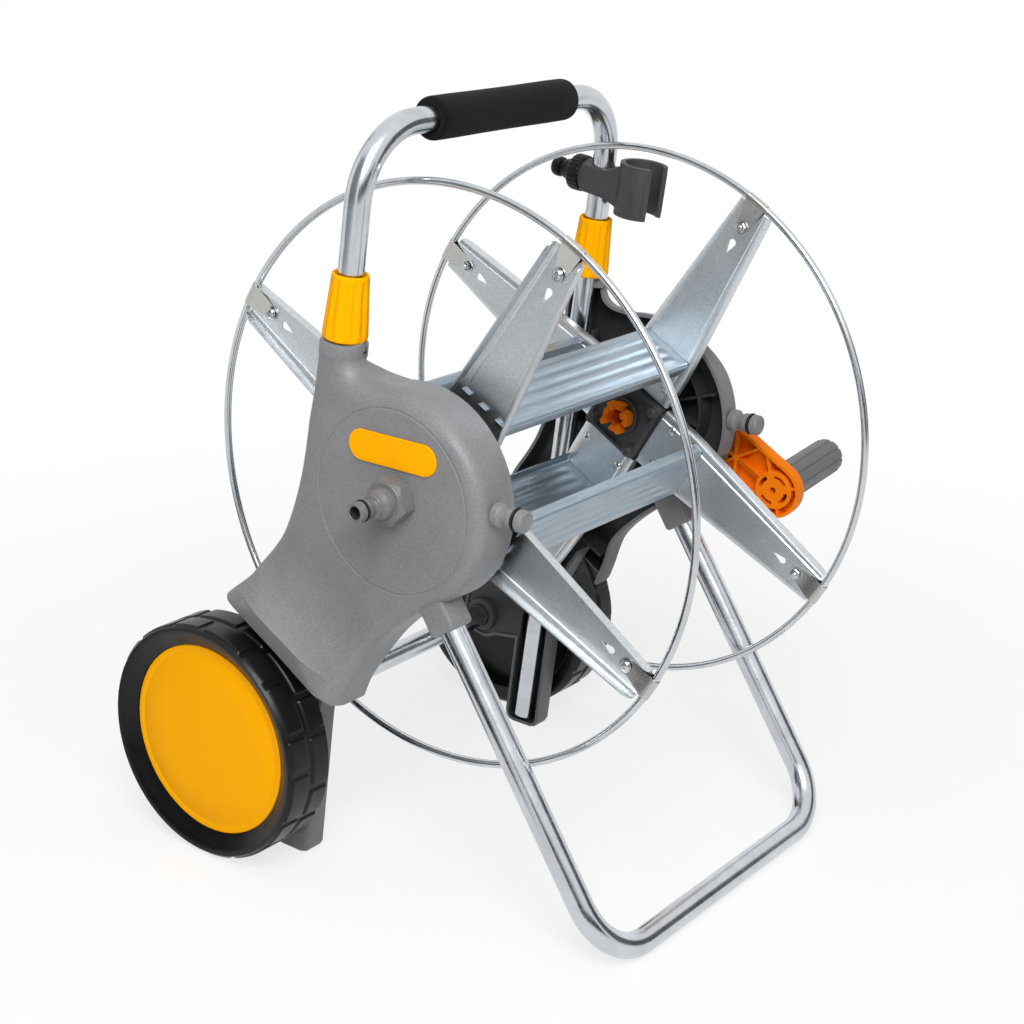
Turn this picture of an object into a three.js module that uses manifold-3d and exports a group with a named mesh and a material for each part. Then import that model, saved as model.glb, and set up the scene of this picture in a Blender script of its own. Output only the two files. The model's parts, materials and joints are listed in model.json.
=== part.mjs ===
import * as THREE from "three";
import { mergeVertices } from "three/addons/utils/BufferGeometryUtils.js";
import Module from "manifold-3d";

// Garden hose reel cart, millimetres, +Z up. X runs along the drum's axle (crank on +X),
// -Y is the front (stand side), +Y the back (wheel side). Pieces of the two sides are drawn on +X
// and mirrored for the left. "Out" below means the distance from the middle plane, |X|.

// ---------- driving dimensions ----------
const GAP = 0.3; // clearance between neighbouring pieces
const WALL = 3; // wall of the moulded panels

const AXLE_HEIGHT = 333.8; // drum axle above the floor
const HOOP_RADIUS = 225; // of the drum's wire hoops
const TUBE_RADIUS = 10; // handle, stand and wheel axle are all of the same tube
const TUBE_BORE = 8.8;

const PANEL_IN = 137.5; // open side of a panel
const PANEL_OUT = 177.5; // outer face of a panel
const LEG_OUT = 169; // outer face of the leg and of the wall beside the wheel
const DISC_RADIUS = 84.4; // round part of the panel
const DISC_AT = [5.6, AXLE_HEIGHT - 4.8]; // its middle, Y and Z
const FACE_ROUND = 8; // rounding between the panel's face and its rim

const WHEEL_RADIUS = 99.2;
const WHEEL_Y = 164.4;
const WHEEL_IN = 173.7;
const WHEEL_OUT = 221.4;
const SIDEWALL = 19.2; // of the tyre, from the tread to the yellow disc
const CAP_RADIUS = WHEEL_RADIUS - SIDEWALL; // yellow disc
const AXLE_TUBE_OUT = WHEEL_OUT - 15.4; // ends of the wheel axle's tube
const CAP_IN = WHEEL_OUT - 11.8; // inner face of the yellow disc
const WEB_IN = WHEEL_IN + 15.3; // inner face of the wheel's web
const TREAD_BLOCKS = 16; // in each of the two rows
const TREAD_DEPTH = 3;

const GUARD_OUT = 200; // mudguard over the wheel
const GUARD_TILT = THREE.MathUtils.degToRad(27.5); // its lip rises to the back
const GUARD_FRONT = [52, 2 * WHEEL_RADIUS - 35.4]; // front end of the lip, Y and Z
const GUARD_LENGTH = 125; // of the lip
const GUARD_ROOF = 25; // roof of the wheel arch, above the lip

const HANDLE_X = 157.5;
const HANDLE_LEAN = THREE.MathUtils.degToRad(6.6); // forward, going up
const HANDLE_TOP = [50.4, AXLE_HEIGHT + HOOP_RADIUS + 36.6]; // middle of the cross bar, Y and Z
const HANDLE_FOOT_Z = 7; // lower ends of the legs
const HANDLE_BEND = 55;
const GRIP_RADIUS = 16.5;
const GRIP_LENGTH = 170;
const NECK_RADIUS = 18;
const NECK_TOP = AXLE_HEIGHT + 105.9;
const COLLAR_Z = [NECK_TOP + GAP, NECK_TOP + 48.1];
const COLLAR_RADII = [17.4, 14];

const STAND_X = 160.4;
const STAND_BAR = [-195.7, TUBE_RADIUS]; // middle of the bottom bar, Y and Z
const STAND_RAKE = THREE.MathUtils.degToRad(34.2); // from upright
const STAND_BEND = 47;
// Mouth of the panel's socket, along the stand's leg.
const SOCKET_START = (AXLE_HEIGHT - 98.42 - STAND_BAR[1]) / Math.cos(STAND_RAKE);
const STAND_LENGTH = SOCKET_START + 49.5; // from the bar to the tube's upper ends
const SOCKET_HALF = 13.3;

const HOOP_OUT = 124; // both flanges' plane
const WIRE_RADIUS = 3;
const ARM_ANGLES = [30, 120, 210, 300];
const SHEET = 1.2; // galvanised sheet
const ARM_FLANGE = 10;
const ARM_TIP = HOOP_RADIUS - 5.5; // reach from the axle
const ARM_ROOT = 30;
const ARM_HALF_ROOT = 28.3;
const ARM_HALF_TIP = 15;
const ARM_TAPER_START = 62;
const BOLT_REACH = HOOP_RADIUS - 24;
const SLAT_REACH = 76.5; // from the axle to a slat's outer face
const SLAT_HALF = 25;
const SLAT_RIB = 2.2;
const SLAT_TABS = [-18, 0, 18];
const TAB_HALF = 4;

const HUB_HALF = 28; // square plate
const SHAFT_RADIUS = 9.5;
const BUSH_RADIUS = 13;

const CRANK_REACH = 123.8;
const CRANK_ANGLE = THREE.MathUtils.degToRad(210.7);
const CRANK_SPLAY = THREE.MathUtils.degToRad(4.5); // the arm leans out to clear the mudguard
const CRANK_IN = 186.7; // inner rim, at the hub
const CRANK_OUT = CRANK_IN + 14;
const CRANK_HUB_RADIUS = 27.5;
const CRANK_END_RADIUS = 24.5;
const CRANK_GRIP_OUT = CRANK_IN + 111.5;
const CRANK_GRIP_RADIUS = 16.2;
const PIN_RADIUS = 4;
const PIN_HEAD_RADIUS = 6.6;
const PIN_HEAD_IN = CRANK_GRIP_OUT - 5;

const STUD_Z = AXLE_HEIGHT + 1.7;
const STUD_BASE = 80; // from the axle
const STUD_X = 160;

const HOLDER_Z = COLLAR_Z[1] + 34.1;
const CLIP_OFFSET = 40;
const CLIP_RADIUS = 20;

// ---------- solids ----------
const wasm = await Module();
wasm.setup();

// Turns a closed geometry's faces round if they point inwards.
function outward(geometry) {
  const g = geometry.index ? geometry.toNonIndexed() : geometry;
  const p = g.getAttribute("position").array;
  let volume = 0;
  for (let i = 0; i < p.length; i += 9) {
    volume += p[i] * (p[i + 4] * p[i + 8] - p[i + 5] * p[i + 7]);
    volume += p[i + 1] * (p[i + 5] * p[i + 6] - p[i + 3] * p[i + 8]);
    volume += p[i + 2] * (p[i + 3] * p[i + 7] - p[i + 4] * p[i + 6]);
  }
  if (volume < 0)
    for (let i = 0; i < p.length; i += 9)
      for (let k = 0; k < 3; k++) [p[i + k], p[i + 3 + k]] = [p[i + 3 + k], p[i + k]];
  return new THREE.BufferGeometry().setAttribute("position", new THREE.BufferAttribute(p, 3));
}

function toSolid(geometry) {
  const merged = mergeVertices(outward(geometry), 1e-2);
  return new wasm.Manifold(
    new wasm.Mesh({
      numProp: 3,
      vertProperties: new Float32Array(merged.attributes.position.array),
      triVerts: new Uint32Array(merged.index.array),
    }),
  );
}

function toGeometry(made) {
  const mesh = made.getMesh();
  const g = new THREE.BufferGeometry();
  const p = new Float32Array(mesh.triVerts.length * 3);
  mesh.triVerts.forEach((v, i) => {
    for (let k = 0; k < 3; k++) p[3 * i + k] = mesh.vertProperties[v * mesh.numProp + k];
  });
  return g.setAttribute("position", new THREE.BufferAttribute(p, 3));
}

function combine(how, first, rest) {
  return toGeometry(rest.flat().reduce((made, g) => made[how](toSolid(g)), toSolid(first)));
}
const add = (first, ...rest) => combine("add", first, rest);
const cut = (first, ...rest) => combine("subtract", first, rest);
const common = (first, ...rest) => combine("intersect", first, rest);

function mirrored(geometry) {
  return outward(geometry.clone().scale(-1, 1, 1));
}

// ---------- basic shapes ----------
const V = (x, y, z) => new THREE.Vector3(x, y, z);
const circle = (r, n, from = 0, to = 2 * Math.PI, cy = 0, cz = 0) =>
  Array.from({ length: n }, (_, i) => {
    const a = from + ((to - from) * i) / (to - from > 6.28 ? n : n - 1);
    return [cy + r * Math.cos(a), cz + r * Math.sin(a)];
  });

function box(x0, x1, y0, y1, z0, z1) {
  const g = new THREE.BoxGeometry(x1 - x0, y1 - y0, z1 - z0);
  return g.translate((x0 + x1) / 2, (y0 + y1) / 2, (z0 + z1) / 2);
}

// A flat outline of [Y, Z] points made thick along X.
function plate(points, x0, x1) {
  const shape = new THREE.Shape(points.map((p) => new THREE.Vector2(...p)));
  const g = new THREE.ExtrudeGeometry(shape, { depth: x1 - x0, bevelEnabled: false });
  return g.applyMatrix4(new THREE.Matrix4().set(0, 0, 1, x0, 1, 0, 0, 0, 0, 1, 0, 0, 0, 0, 0, 1));
}

// The same with a rounded outer edge and an inset outline; it runs on inwards past x0.
function roundedPlate(points, x0, x1, inset, round, steps = 1) {
  const shape = new THREE.Shape(points.map((p) => new THREE.Vector2(...p)));
  const g = new THREE.ExtrudeGeometry(shape, {
    depth: x1 - x0 - round,
    bevelThickness: round,
    bevelSize: round,
    bevelOffset: -(inset + round),
    bevelSegments: steps,
  });
  return g.applyMatrix4(new THREE.Matrix4().set(0, 0, 1, x0, 1, 0, 0, 0, 0, 1, 0, 0, 0, 0, 0, 1));
}

// A turned solid about the X axis from a closed profile of [radius, X] points. Radii in "bores" are
// holes: their flats are at that radius.
function turned(profile, sides, ...bores) {
  const flat = 1 / Math.cos(Math.PI / sides);
  const points = profile.map(([r, x]) => new THREE.Vector2(bores.includes(r) ? r * flat : r, x));
  if (profile[0][0] > 0) points.push(points[0].clone());
  return new THREE.LatheGeometry(points, sides).rotateZ(-Math.PI / 2);
}

function rod(r, from, to, sides, turn = 0) {
  const axis = to.clone().sub(from);
  const g = new THREE.CylinderGeometry(r, r, axis.length(), sides).rotateY(turn);
  g.applyQuaternion(new THREE.Quaternion().setFromUnitVectors(V(0, 1, 0), axis.normalize()));
  const middle = from.clone().add(to).multiplyScalar(0.5);
  return g.translate(middle.x, middle.y, middle.z);
}
const rodX = (r, x0, x1, y, z, sides) => rod(r, V(x0, y, z), V(x1, y, z), sides);

// A round hole: its flats, not its corners, are at radius r.
const hole = (r, from, to, sides) => rod(r / Math.cos(Math.PI / sides), from, to, sides);
const holeX = (r, x0, x1, y, z, sides) => hole(r, V(x0, y, z), V(x1, y, z), sides);

// A closed skin over rings of points; a loop of rings needs no end caps.
function skin(rings, loop) {
  const p = [];
  const face = (a, b, c) => p.push(...a.toArray(), ...b.toArray(), ...c.toArray());
  const last = loop ? rings.length : rings.length - 1;
  for (let i = 0; i < last; i++) {
    const a = rings[i];
    const b = rings[(i + 1) % rings.length];
    a.forEach((_, j) => {
      const k = (j + 1) % a.length;
      face(a[j], a[k], b[j]);
      face(a[k], b[k], b[j]);
    });
  }
  const cap = (ring, turn) => {
    const middle = ring.reduce((m, q) => m.add(q), V(0, 0, 0)).divideScalar(ring.length);
    ring.forEach((q, j) => {
      const next = ring[(j + 1) % ring.length];
      if (turn) face(middle, next, q);
      else face(middle, q, next);
    });
  };
  if (!loop) {
    cap(rings[0], true);
    cap(rings[rings.length - 1], false);
  }
  return new THREE.BufferGeometry().setAttribute(
    "position",
    new THREE.BufferAttribute(new Float32Array(p), 3),
  );
}

// Rings of radius r about a path that lies in the plane with the given normal.
function ringsAlong(path, r, sides, normal) {
  return path.map((c, i) => {
    const before = path[Math.max(i - 1, 0)];
    const after = path[Math.min(i + 1, path.length - 1)];
    const along = after.clone().sub(before).normalize();
    const side = along.clone().cross(normal).normalize();
    return Array.from({ length: sides }, (_, j) => {
      const a = (2 * Math.PI * (j + 0.5)) / sides;
      const out = side.clone().multiplyScalar(Math.cos(a) * r);
      return c.clone().add(out).addScaledVector(normal, Math.sin(a) * r);
    });
  });
}

// A hollow tube along the path, open at both ends.
function pipe(path, sides, normal) {
  const outer = ringsAlong(path, TUBE_RADIUS, sides, normal);
  const inner = ringsAlong(path, TUBE_BORE, sides, normal).reverse();
  return skin([...outer, ...inner], true);
}

// A U: two legs and a cross bar. "up" points from the bar to the legs' ends.
function uPath(halfWidth, bar, up, length, bend, steps) {
  const side = (s) => {
    const points = [bar.clone().addScaledVector(up, length).add(V(s * halfWidth, 0, 0))];
    for (let i = 0; i <= steps; i++) {
      const a = ((Math.PI / 2) * i) / steps;
      const x = s * (halfWidth - bend + bend * Math.cos(a));
      const along = bend - bend * Math.sin(a);
      points.push(bar.clone().addScaledVector(up, along).add(V(x, 0, 0)));
    }
    return points;
  };
  return [...side(-1), ...side(1).reverse()];
}

// A ring with teeth: radius r on the blocks, r - depth between them.
function toothed(r, depth, count, filled, turn = 0) {
  const points = [];
  for (let i = 0; i < count; i++)
    for (const [at, radius] of [
      [0.0, r - depth],
      [0.02, r],
      [filled / 2, r],
      [filled, r],
    ]) {
      const a = ((i + at + turn) * 2 * Math.PI) / count;
      points.push([radius * Math.cos(a), radius * Math.sin(a)]);
    }
  return points;
}

// ---------- frame of reference ----------
const handleY = (z) => HANDLE_TOP[0] + (HANDLE_TOP[1] - z) * Math.tan(HANDLE_LEAN);
const handleUp = V(0, -Math.sin(HANDLE_LEAN), Math.cos(HANDLE_LEAN));
const standUp = V(0, Math.sin(STAND_RAKE), Math.cos(STAND_RAKE));
const standAt = (s, x = STAND_X) => V(x, STAND_BAR[0], STAND_BAR[1]).addScaledVector(standUp, s);
const lipAlong = [Math.cos(GUARD_TILT), Math.sin(GUARD_TILT)];
const lipUp = [-Math.sin(GUARD_TILT), Math.cos(GUARD_TILT)];
// [Y, Z] of a point u along the mudguard's lip and w above it.
const guardPoint = (u, w) => [
  GUARD_FRONT[0] + u * lipAlong[0] + w * lipUp[0],
  GUARD_FRONT[1] + u * lipAlong[1] + w * lipUp[1],
];
const onHandle = (g, z) => g.rotateX(HANDLE_LEAN).translate(HANDLE_X, handleY(z), z);
const aboutAxle = (g, angle) => g.rotateX(angle).translate(0, 0, AXLE_HEIGHT);
const splayed = (g) => g.translate(-CRANK_IN, 0, 0).rotateZ(-CRANK_SPLAY).translate(CRANK_IN, 0, 0);

// ---------- side panels ----------
function curve(points, n) {
  const spline = new THREE.SplineCurve(points.map((p) => new THREE.Vector2(...p)));
  return spline.getSpacedPoints(n).map((p) => [p.x, p.y]);
}

// Height at a share of the way from the mudguard's front end to the axle.
const panelZ = (share) => GUARD_FRONT[1] + share * (AXLE_HEIGHT - GUARD_FRONT[1]);

// Back edge, mudguard (its lower corners run on below the lip) and front edge.
function bodyOutline() {
  const rear = [
    [89, AXLE_HEIGHT + 84.2], [89, AXLE_HEIGHT + 62.2], [93, AXLE_HEIGHT + 30.2],
    [102, AXLE_HEIGHT - 11.8], [117, panelZ(0.691)], [138, panelZ(0.4977)],
  ];
  const frontTop = [
    DISC_AT[0] - DISC_RADIUS * Math.cos(0.96),
    DISC_AT[1] - DISC_RADIUS * Math.sin(0.96),
  ];
  const front = [
    guardPoint(5, -10), [49, panelZ(0.0527)], [28, panelZ(0.2342)], [4, panelZ(0.3806)],
    [-27, panelZ(0.5211)],
  ];
  return [
    ...curve([...rear, guardPoint(GUARD_LENGTH, 0)], 8),
    guardPoint(GUARD_LENGTH, -30),
    guardPoint(0, -30),
    ...curve([...front, frontTop], 6),
    ...circle(DISC_RADIUS, 15, Math.PI + 0.96, Math.PI / 2, ...DISC_AT).slice(1),
    [32, DISC_AT[1] + DISC_RADIUS + 0.4],
    [44, AXLE_HEIGHT + 81.2],
    [50, AXLE_HEIGHT + 87.2],
  ];
}

// Wall beside the wheel, with the wheel axle's boss and the leg.
function legOutline() {
  const wheel = circle(23, 5, -2.2, 0, WHEEL_Y, WHEEL_RADIUS);
  return [
    guardPoint(GUARD_LENGTH - 2, 21),
    guardPoint(GUARD_LENGTH - 2, -30),
    ...wheel.reverse(),
    [126, WHEEL_RADIUS - 15.2],
    [135, 4],
    [131, 0],
    [101, 0],
    [98, 4],
    [86, GUARD_FRONT[1] - 42],
    [68, GUARD_FRONT[1] - 32],
    guardPoint(2, -30),
    guardPoint(2, 21),
  ];
}

// The mudguard's section, [out, w above the lip], pushed along the lip.
function guardSolid(inset) {
  const section = [
    [100, 120],
    [PANEL_OUT - inset, 120],
    [PANEL_OUT - inset, 84],
    [PANEL_OUT + 2 - inset, 66],
    [PANEL_OUT + 8 - inset, 44],
    [PANEL_OUT + 17 - inset, 26],
    [GUARD_OUT - inset, 16],
    [GUARD_OUT - inset, inset ? -60 : 0],
    [100, inset ? -60 : 0],
  ];
  const shape = new THREE.Shape(section.map((p) => new THREE.Vector2(...p)));
  const g = new THREE.ExtrudeGeometry(shape, { depth: 240, bevelEnabled: false });
  const [y, z] = guardPoint(-60, 0);
  const m = new THREE.Matrix4();
  m.set(1, 0, 0, 0, 0, lipUp[0], lipAlong[0], y, 0, lipUp[1], lipAlong[1], z, 0, 0, 0, 1);
  return g.applyMatrix4(m);
}

// A box in the mudguard's directions: out, along the lip and above it.
function guardBox(x0, x1, u0, u1, w0, w1) {
  const corners = [[u0, w0], [u1, w0], [u1, w1], [u0, w1]].map((c) => guardPoint(...c));
  return plate(corners, x0, x1);
}

function panelShell() {
  const body = bodyOutline();
  const leg = legOutline();
  const inner = box(0, PANEL_IN, -300, 400, -100, 600);
  const guard = common(guardSolid(0), roundedPlate(body, PANEL_IN, GUARD_OUT, 0, 14, 2));
  const neckZ = AXLE_HEIGHT + 61.2;
  const neckBottom = V(HANDLE_X, handleY(neckZ), neckZ);
  const neckTop = V(HANDLE_X, handleY(NECK_TOP), NECK_TOP);
  const outer = cut(
    add(
      cut(
        roundedPlate(body, PANEL_IN, PANEL_OUT, 0, FACE_ROUND, 2),
        guardBox(LEG_OUT, 300, -100, 300, -100, 0),
      ),
      guard,
      roundedPlate(leg, PANEL_IN, LEG_OUT, 0, 4),
      rod(NECK_RADIUS, neckBottom, neckTop, 15, 0.06),
    ),
    inner,
  );
  const underRoof = guardBox(LEG_OUT - WALL, 300, -100, 300, -100, GUARD_ROOF);
  const hollow = cut(
    add(
      roundedPlate(body, PANEL_IN, PANEL_OUT - WALL, WALL, FACE_ROUND - 2),
      common(guardSolid(WALL), roundedPlate(body, PANEL_IN, GUARD_OUT - WALL, WALL, 12)),
    ),
    underRoof,
  );
  const arch = common(
    roundedPlate(body, PANEL_IN, GUARD_OUT - WALL, WALL, 12),
    guardBox(LEG_OUT, 300, -100, 300, -100, GUARD_ROOF - WALL),
  );
  return cut(outer, hollow, roundedPlate(leg, PANEL_IN, LEG_OUT - WALL, WALL, 2), arch);
}

function panelInsides() {
  const face = PANEL_OUT - WALL + 0.5;
  const pieces = [
    rodX(BUSH_RADIUS + 4, PANEL_IN + 2, face, 0, AXLE_HEIGHT, 14),
    rodX(TUBE_RADIUS + 4, PANEL_IN, LEG_OUT - 1, WHEEL_Y, WHEEL_RADIUS, 14),
  ];
  for (let i = 0; i < 6; i++) {
    const rib = box(PANEL_IN + 12, face, BUSH_RADIUS, DISC_RADIUS - 10.4, -1.1, 1.1);
    pieces.push(aboutAxle(rib, Math.PI / 2 + 0.45 + (i * Math.PI) / 3.9));
  }
  for (const z of [AXLE_HEIGHT - 33.8, AXLE_HEIGHT + 51.2]) {
    const y = handleY(z);
    pieces.push(box(PANEL_IN + 4, face, y - 14, y + 14, z - 4, z + 4));
  }
  for (const z of [30, 100, 180]) {
    const y = handleY(z);
    pieces.push(box(HANDLE_X + 2, LEG_OUT - 1, y - 13, y + 13, z - 1.5, z + 1.5));
  }
  const [mouth, end] = [standAt(SOCKET_START), standAt(SOCKET_START + 62)];
  pieces.push(rod(SOCKET_HALF * Math.SQRT2, mouth, end, 4, Math.PI / 4));
  return pieces;
}

function panelBores() {
  const r = TUBE_RADIUS + GAP;
  const low = V(HANDLE_X, handleY(5.5), 5.5);
  const high = V(HANDLE_X, handleY(NECK_TOP + 30), NECK_TOP + 30);
  return [
    hole(r, low, high, 12),
    hole(r, standAt(SOCKET_START - 10), standAt(STAND_LENGTH + 1), 12),
    holeX(r, 100, 300, WHEEL_Y, WHEEL_RADIUS, 12),
    holeX(BUSH_RADIUS + GAP, 100, 300, 0, AXLE_HEIGHT, 12),
    hole(5 + GAP, V(STUD_X, -50, STUD_Z), V(STUD_X, -100, STUD_Z), 8),
  ];
}

const sidePanel = () => cut(add(panelShell(), ...panelInsides()), ...panelBores());

// ---------- tubes ----------
const crossNormal = (up) => up.clone().cross(V(1, 0, 0)).normalize();

function handleTube() {
  const length = (HANDLE_TOP[1] - HANDLE_FOOT_Z) / Math.cos(HANDLE_LEAN);
  const down = handleUp.clone().negate();
  const path = uPath(HANDLE_X, V(0, ...HANDLE_TOP), down, length, HANDLE_BEND, 5);
  return pipe(path, 12, crossNormal(down));
}

function standTube() {
  const path = uPath(STAND_X, V(0, ...STAND_BAR), standUp, STAND_LENGTH, STAND_BEND, 5);
  return pipe(path, 12, crossNormal(standUp));
}

const axleTube = () =>
  pipe(
    [V(-AXLE_TUBE_OUT, WHEEL_Y, WHEEL_RADIUS), V(AXLE_TUBE_OUT, WHEEL_Y, WHEEL_RADIUS)],
    12,
    V(0, 0, 1),
  );

function foamGrip() {
  const half = GRIP_LENGTH / 2;
  const r = GRIP_RADIUS;
  const bore = TUBE_RADIUS + GAP;
  const profile = [
    [bore, -half], [r - 3, -half], [r - 0.8, -half + 1.2], [r, -half + 4],
    [r, half - 4], [r - 0.8, half - 1.2], [r - 3, half], [bore, half],
  ];
  return turned(profile, 16, bore).translate(0, ...HANDLE_TOP);
}

// Fluted twist collar, wider at the foot.
function collar() {
  const middle = (COLLAR_Z[0] + COLLAR_Z[1]) / 2;
  const half = (COLLAR_Z[1] - COLLAR_Z[0]) / 2 / Math.cos(HANDLE_LEAN);
  const ring = (r, h, depth) =>
    Array.from({ length: 24 }, (_, i) => {
      const a = (i * Math.PI) / 12;
      const radius = i % 2 ? r : r - depth;
      return V(radius * Math.cos(a), radius * Math.sin(a), h);
    });
  const [wide, narrow] = COLLAR_RADII;
  const body = skin([
    ring(wide - 1, -half, 0),
    ring(wide, -half + 3, 0.9),
    ring(narrow + 0.6, half - 6, 0.9),
    ring(narrow - 0.4, half, 0),
  ]);
  const bore = hole(TUBE_RADIUS + GAP, V(0, 0, -half - 1), V(0, 0, half + 1), 12);
  return onHandle(cut(body, bore), middle);
}

// ---------- wheels ----------
function wheel() {
  const hub = TUBE_RADIUS + GAP;
  const rim = WHEEL_RADIUS - TREAD_DEPTH;
  const seat = CAP_RADIUS + GAP;
  const inside = CAP_RADIUS + 3;
  const ledge = CAP_RADIUS - 4;
  const webOut = WEB_IN + 4;
  const [hubIn, hubOut] = [WHEEL_IN + 0.8, AXLE_TUBE_OUT - 5];
  const profile = [
    [hub, hubIn], [19, hubIn], [19, WEB_IN], [inside, WEB_IN], [inside, WHEEL_IN + 1.3],
    [rim - 3, WHEEL_IN], [rim, WHEEL_IN + 2], [rim, WHEEL_OUT - 2], [rim - 2.6, WHEEL_OUT],
    [CAP_RADIUS + 6.5, WHEEL_OUT], [CAP_RADIUS + 4, WHEEL_OUT - 2],
    [seat, WHEEL_OUT - 8.4], [seat, CAP_IN - GAP], [ledge, CAP_IN - GAP],
    [ledge, CAP_IN - 4.6], [inside, webOut], [19, webOut], [19, hubOut], [hub, hubOut],
  ];
  const body = turned(profile, 24, hub, seat);
  const half = (WHEEL_OUT - WHEEL_IN) / 2;
  const middle = (WHEEL_OUT + WHEEL_IN) / 2;
  const row = (turn, x0, x1) =>
    cut(
      plate(toothed(WHEEL_RADIUS, TREAD_DEPTH - 0.4, TREAD_BLOCKS, 0.88, turn), x0, x1),
      rodX(rim - 4, 100, 300, 0, 0, 24),
    );
  const rows = [row(0, middle + 1.5, middle + half - 3), row(0.5, middle - half + 3, middle - 1.5)];
  return add(body, ...rows).translate(0, WHEEL_Y, WHEEL_RADIUS);
}

function wheelCap() {
  const r = CAP_RADIUS;
  const profile = [
    [0, CAP_IN], [r, CAP_IN], [r, CAP_IN + 2.4], [r - 1, CAP_IN + 3], [0, CAP_IN + 3.4],
  ];
  return turned(profile, 24).translate(0, WHEEL_Y, WHEEL_RADIUS);
}

// Push-on cap that keeps the wheel on the axle tube.
function axleCap() {
  const r = TUBE_RADIUS + GAP;
  const floor = AXLE_TUBE_OUT + GAP;
  const profile = [
    [0, floor], [r, floor], [r, floor - 4.3], [14, floor - 4.3], [14, floor + 0.7],
    [12, floor + 2], [0, floor + 2],
  ];
  return turned(profile, 12, r).translate(0, WHEEL_Y, WHEEL_RADIUS);
}

// ---------- drum ----------
const hoop = () =>
  new THREE.TorusGeometry(HOOP_RADIUS, WIRE_RADIUS, 6, 48)
    .rotateY(Math.PI / 2)
    .translate(HOOP_OUT, 0, AXLE_HEIGHT);

// Half width of an arm's web at a distance from the axle.
function armHalf(reach) {
  const taper = (ARM_HALF_ROOT - ARM_HALF_TIP) / (ARM_TIP - ARM_TAPER_START);
  return ARM_HALF_ROOT - Math.max(0, reach - ARM_TAPER_START) * taper;
}

function armOutline(from, to, inset) {
  const edge = [from, ARM_TAPER_START, to].map((d) => [d, armHalf(d) - inset]);
  return [...edge.map(([d, t]) => [d, -t]), ...edge.reverse()];
}

function arm(angle) {
  const web = HOOP_OUT - SHEET / 2;
  const drop = circle(3.6, 5, -Math.PI / 2, Math.PI / 2, BOLT_REACH - 17, 0);
  const channel = cut(
    plate(armOutline(ARM_ROOT, ARM_TIP, 0), web, web + ARM_FLANGE),
    plate(armOutline(ARM_ROOT - 9, ARM_TIP + 9, SHEET), web + SHEET, web + 99),
  );
  const slots = SLAT_TABS.map((t) => {
    const h = TAB_HALF + GAP;
    const d = SLAT_REACH - SHEET / 2;
    return box(100, 150, d - SHEET / 2 - GAP, d + SHEET / 2 + GAP, t - h, t + h);
  });
  const holes = [
    plate([...drop, [BOLT_REACH - 30, 0]], 100, 150),
    holeX(2.4, 100, 150, BOLT_REACH, 0, 8),
    holeX(2.3, 100, 150, 44, 19, 6),
    ...slots,
  ];
  return aboutAxle(cut(channel, ...holes), angle);
}

// Sheet clip folded round the hoop and bolted through the arm's tip.
function hoopClip(angle) {
  const flat = SHEET / 2 + GAP;
  const bend = WIRE_RADIUS + GAP;
  const t = 1;
  const side = (o, r) => [
    [BOLT_REACH - 5.5, flat + o],
    [BOLT_REACH + 8, flat + o],
    [HOOP_RADIUS - 4.5, r - 0.5],
    ...circle(r, 5, Math.PI / 2 + 0.25, 0, 0, 0).map(([d, x]) => [HOOP_RADIUS + d, x]),
  ];
  const whole = (o, r) => {
    const upper = side(o, r);
    return [...upper, ...upper.slice(0, -1).reverse().map(([d, x]) => [d, -x])];
  };
  const section = [...whole(t, bend + t), ...whole(0, bend).reverse()];
  const shape = new THREE.Shape(section.map((p) => new THREE.Vector2(...p)));
  const strip = new THREE.ExtrudeGeometry(shape, { depth: 20, bevelEnabled: false });
  strip.applyMatrix4(
    new THREE.Matrix4().set(0, 1, 0, HOOP_OUT, 1, 0, 0, 0, 0, 0, 1, -10, 0, 0, 0, 1),
  );
  const wedge = plate(
    [[BOLT_REACH - 11, -5], [BOLT_REACH, -5.5], [HOOP_RADIUS - 5, -10], [HOOP_RADIUS + 15, -10],
     [HOOP_RADIUS + 15, 10], [HOOP_RADIUS - 5, 10], [BOLT_REACH, 5.5], [BOLT_REACH - 11, 5]],
    100,
    150,
  );
  const x = (d) => HOOP_OUT + d;
  const bolt = [
    rodX(2.1, x(-3.4), x(3.4), BOLT_REACH, 0, 6),
    rodX(4.2, x(flat + t - 0.1), x(flat + t + 2.6), BOLT_REACH, 0, 8),
    rodX(4.4, x(-flat - t - 2.8), x(-flat - t + 0.1), BOLT_REACH, 0, 6),
  ];
  return aboutAxle(add(common(strip, wedge), ...bolt), angle);
}

// Slat: ribbed strip across the drum with side folds and end tabs through the arms.
function slat(angle) {
  const end = HOOP_OUT - SHEET / 2 - GAP;
  const top = SLAT_REACH;
  const outer = [];
  for (const t of [-15, -5, 5, 15])
    outer.push([top, t - 3.6], [top + SLAT_RIB, t - 1.8], [top + SLAT_RIB, t + 1.8], [top, t + 3.6]);
  const edge = [[top - 8, -SLAT_HALF], [top, -SLAT_HALF], ...outer, [top, SLAT_HALF], [top - 8, SLAT_HALF]];
  const s = SHEET;
  const under = edge
    .map(([d, t], i) => {
      const side = Math.abs(t) === SLAT_HALF;
      if (i === 0 || i === edge.length - 1) return [d, t - Math.sign(t) * s];
      return [d - s, side ? t - Math.sign(t) * s : t];
    })
    .reverse();
  const strip = plate([...edge, ...under], -end, end);
  const tabs = SLAT_TABS.map((t) =>
    box(-HOOP_OUT - 3.4, HOOP_OUT + 3.4, top - SHEET, top, t - TAB_HALF, t + TAB_HALF),
  );
  const between = box(-end + 6, end - 6, top - 20, top + 20, -60, 60);
  return aboutAxle(add(strip, ...tabs.map((tab) => cut(tab, between))), angle);
}

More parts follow.
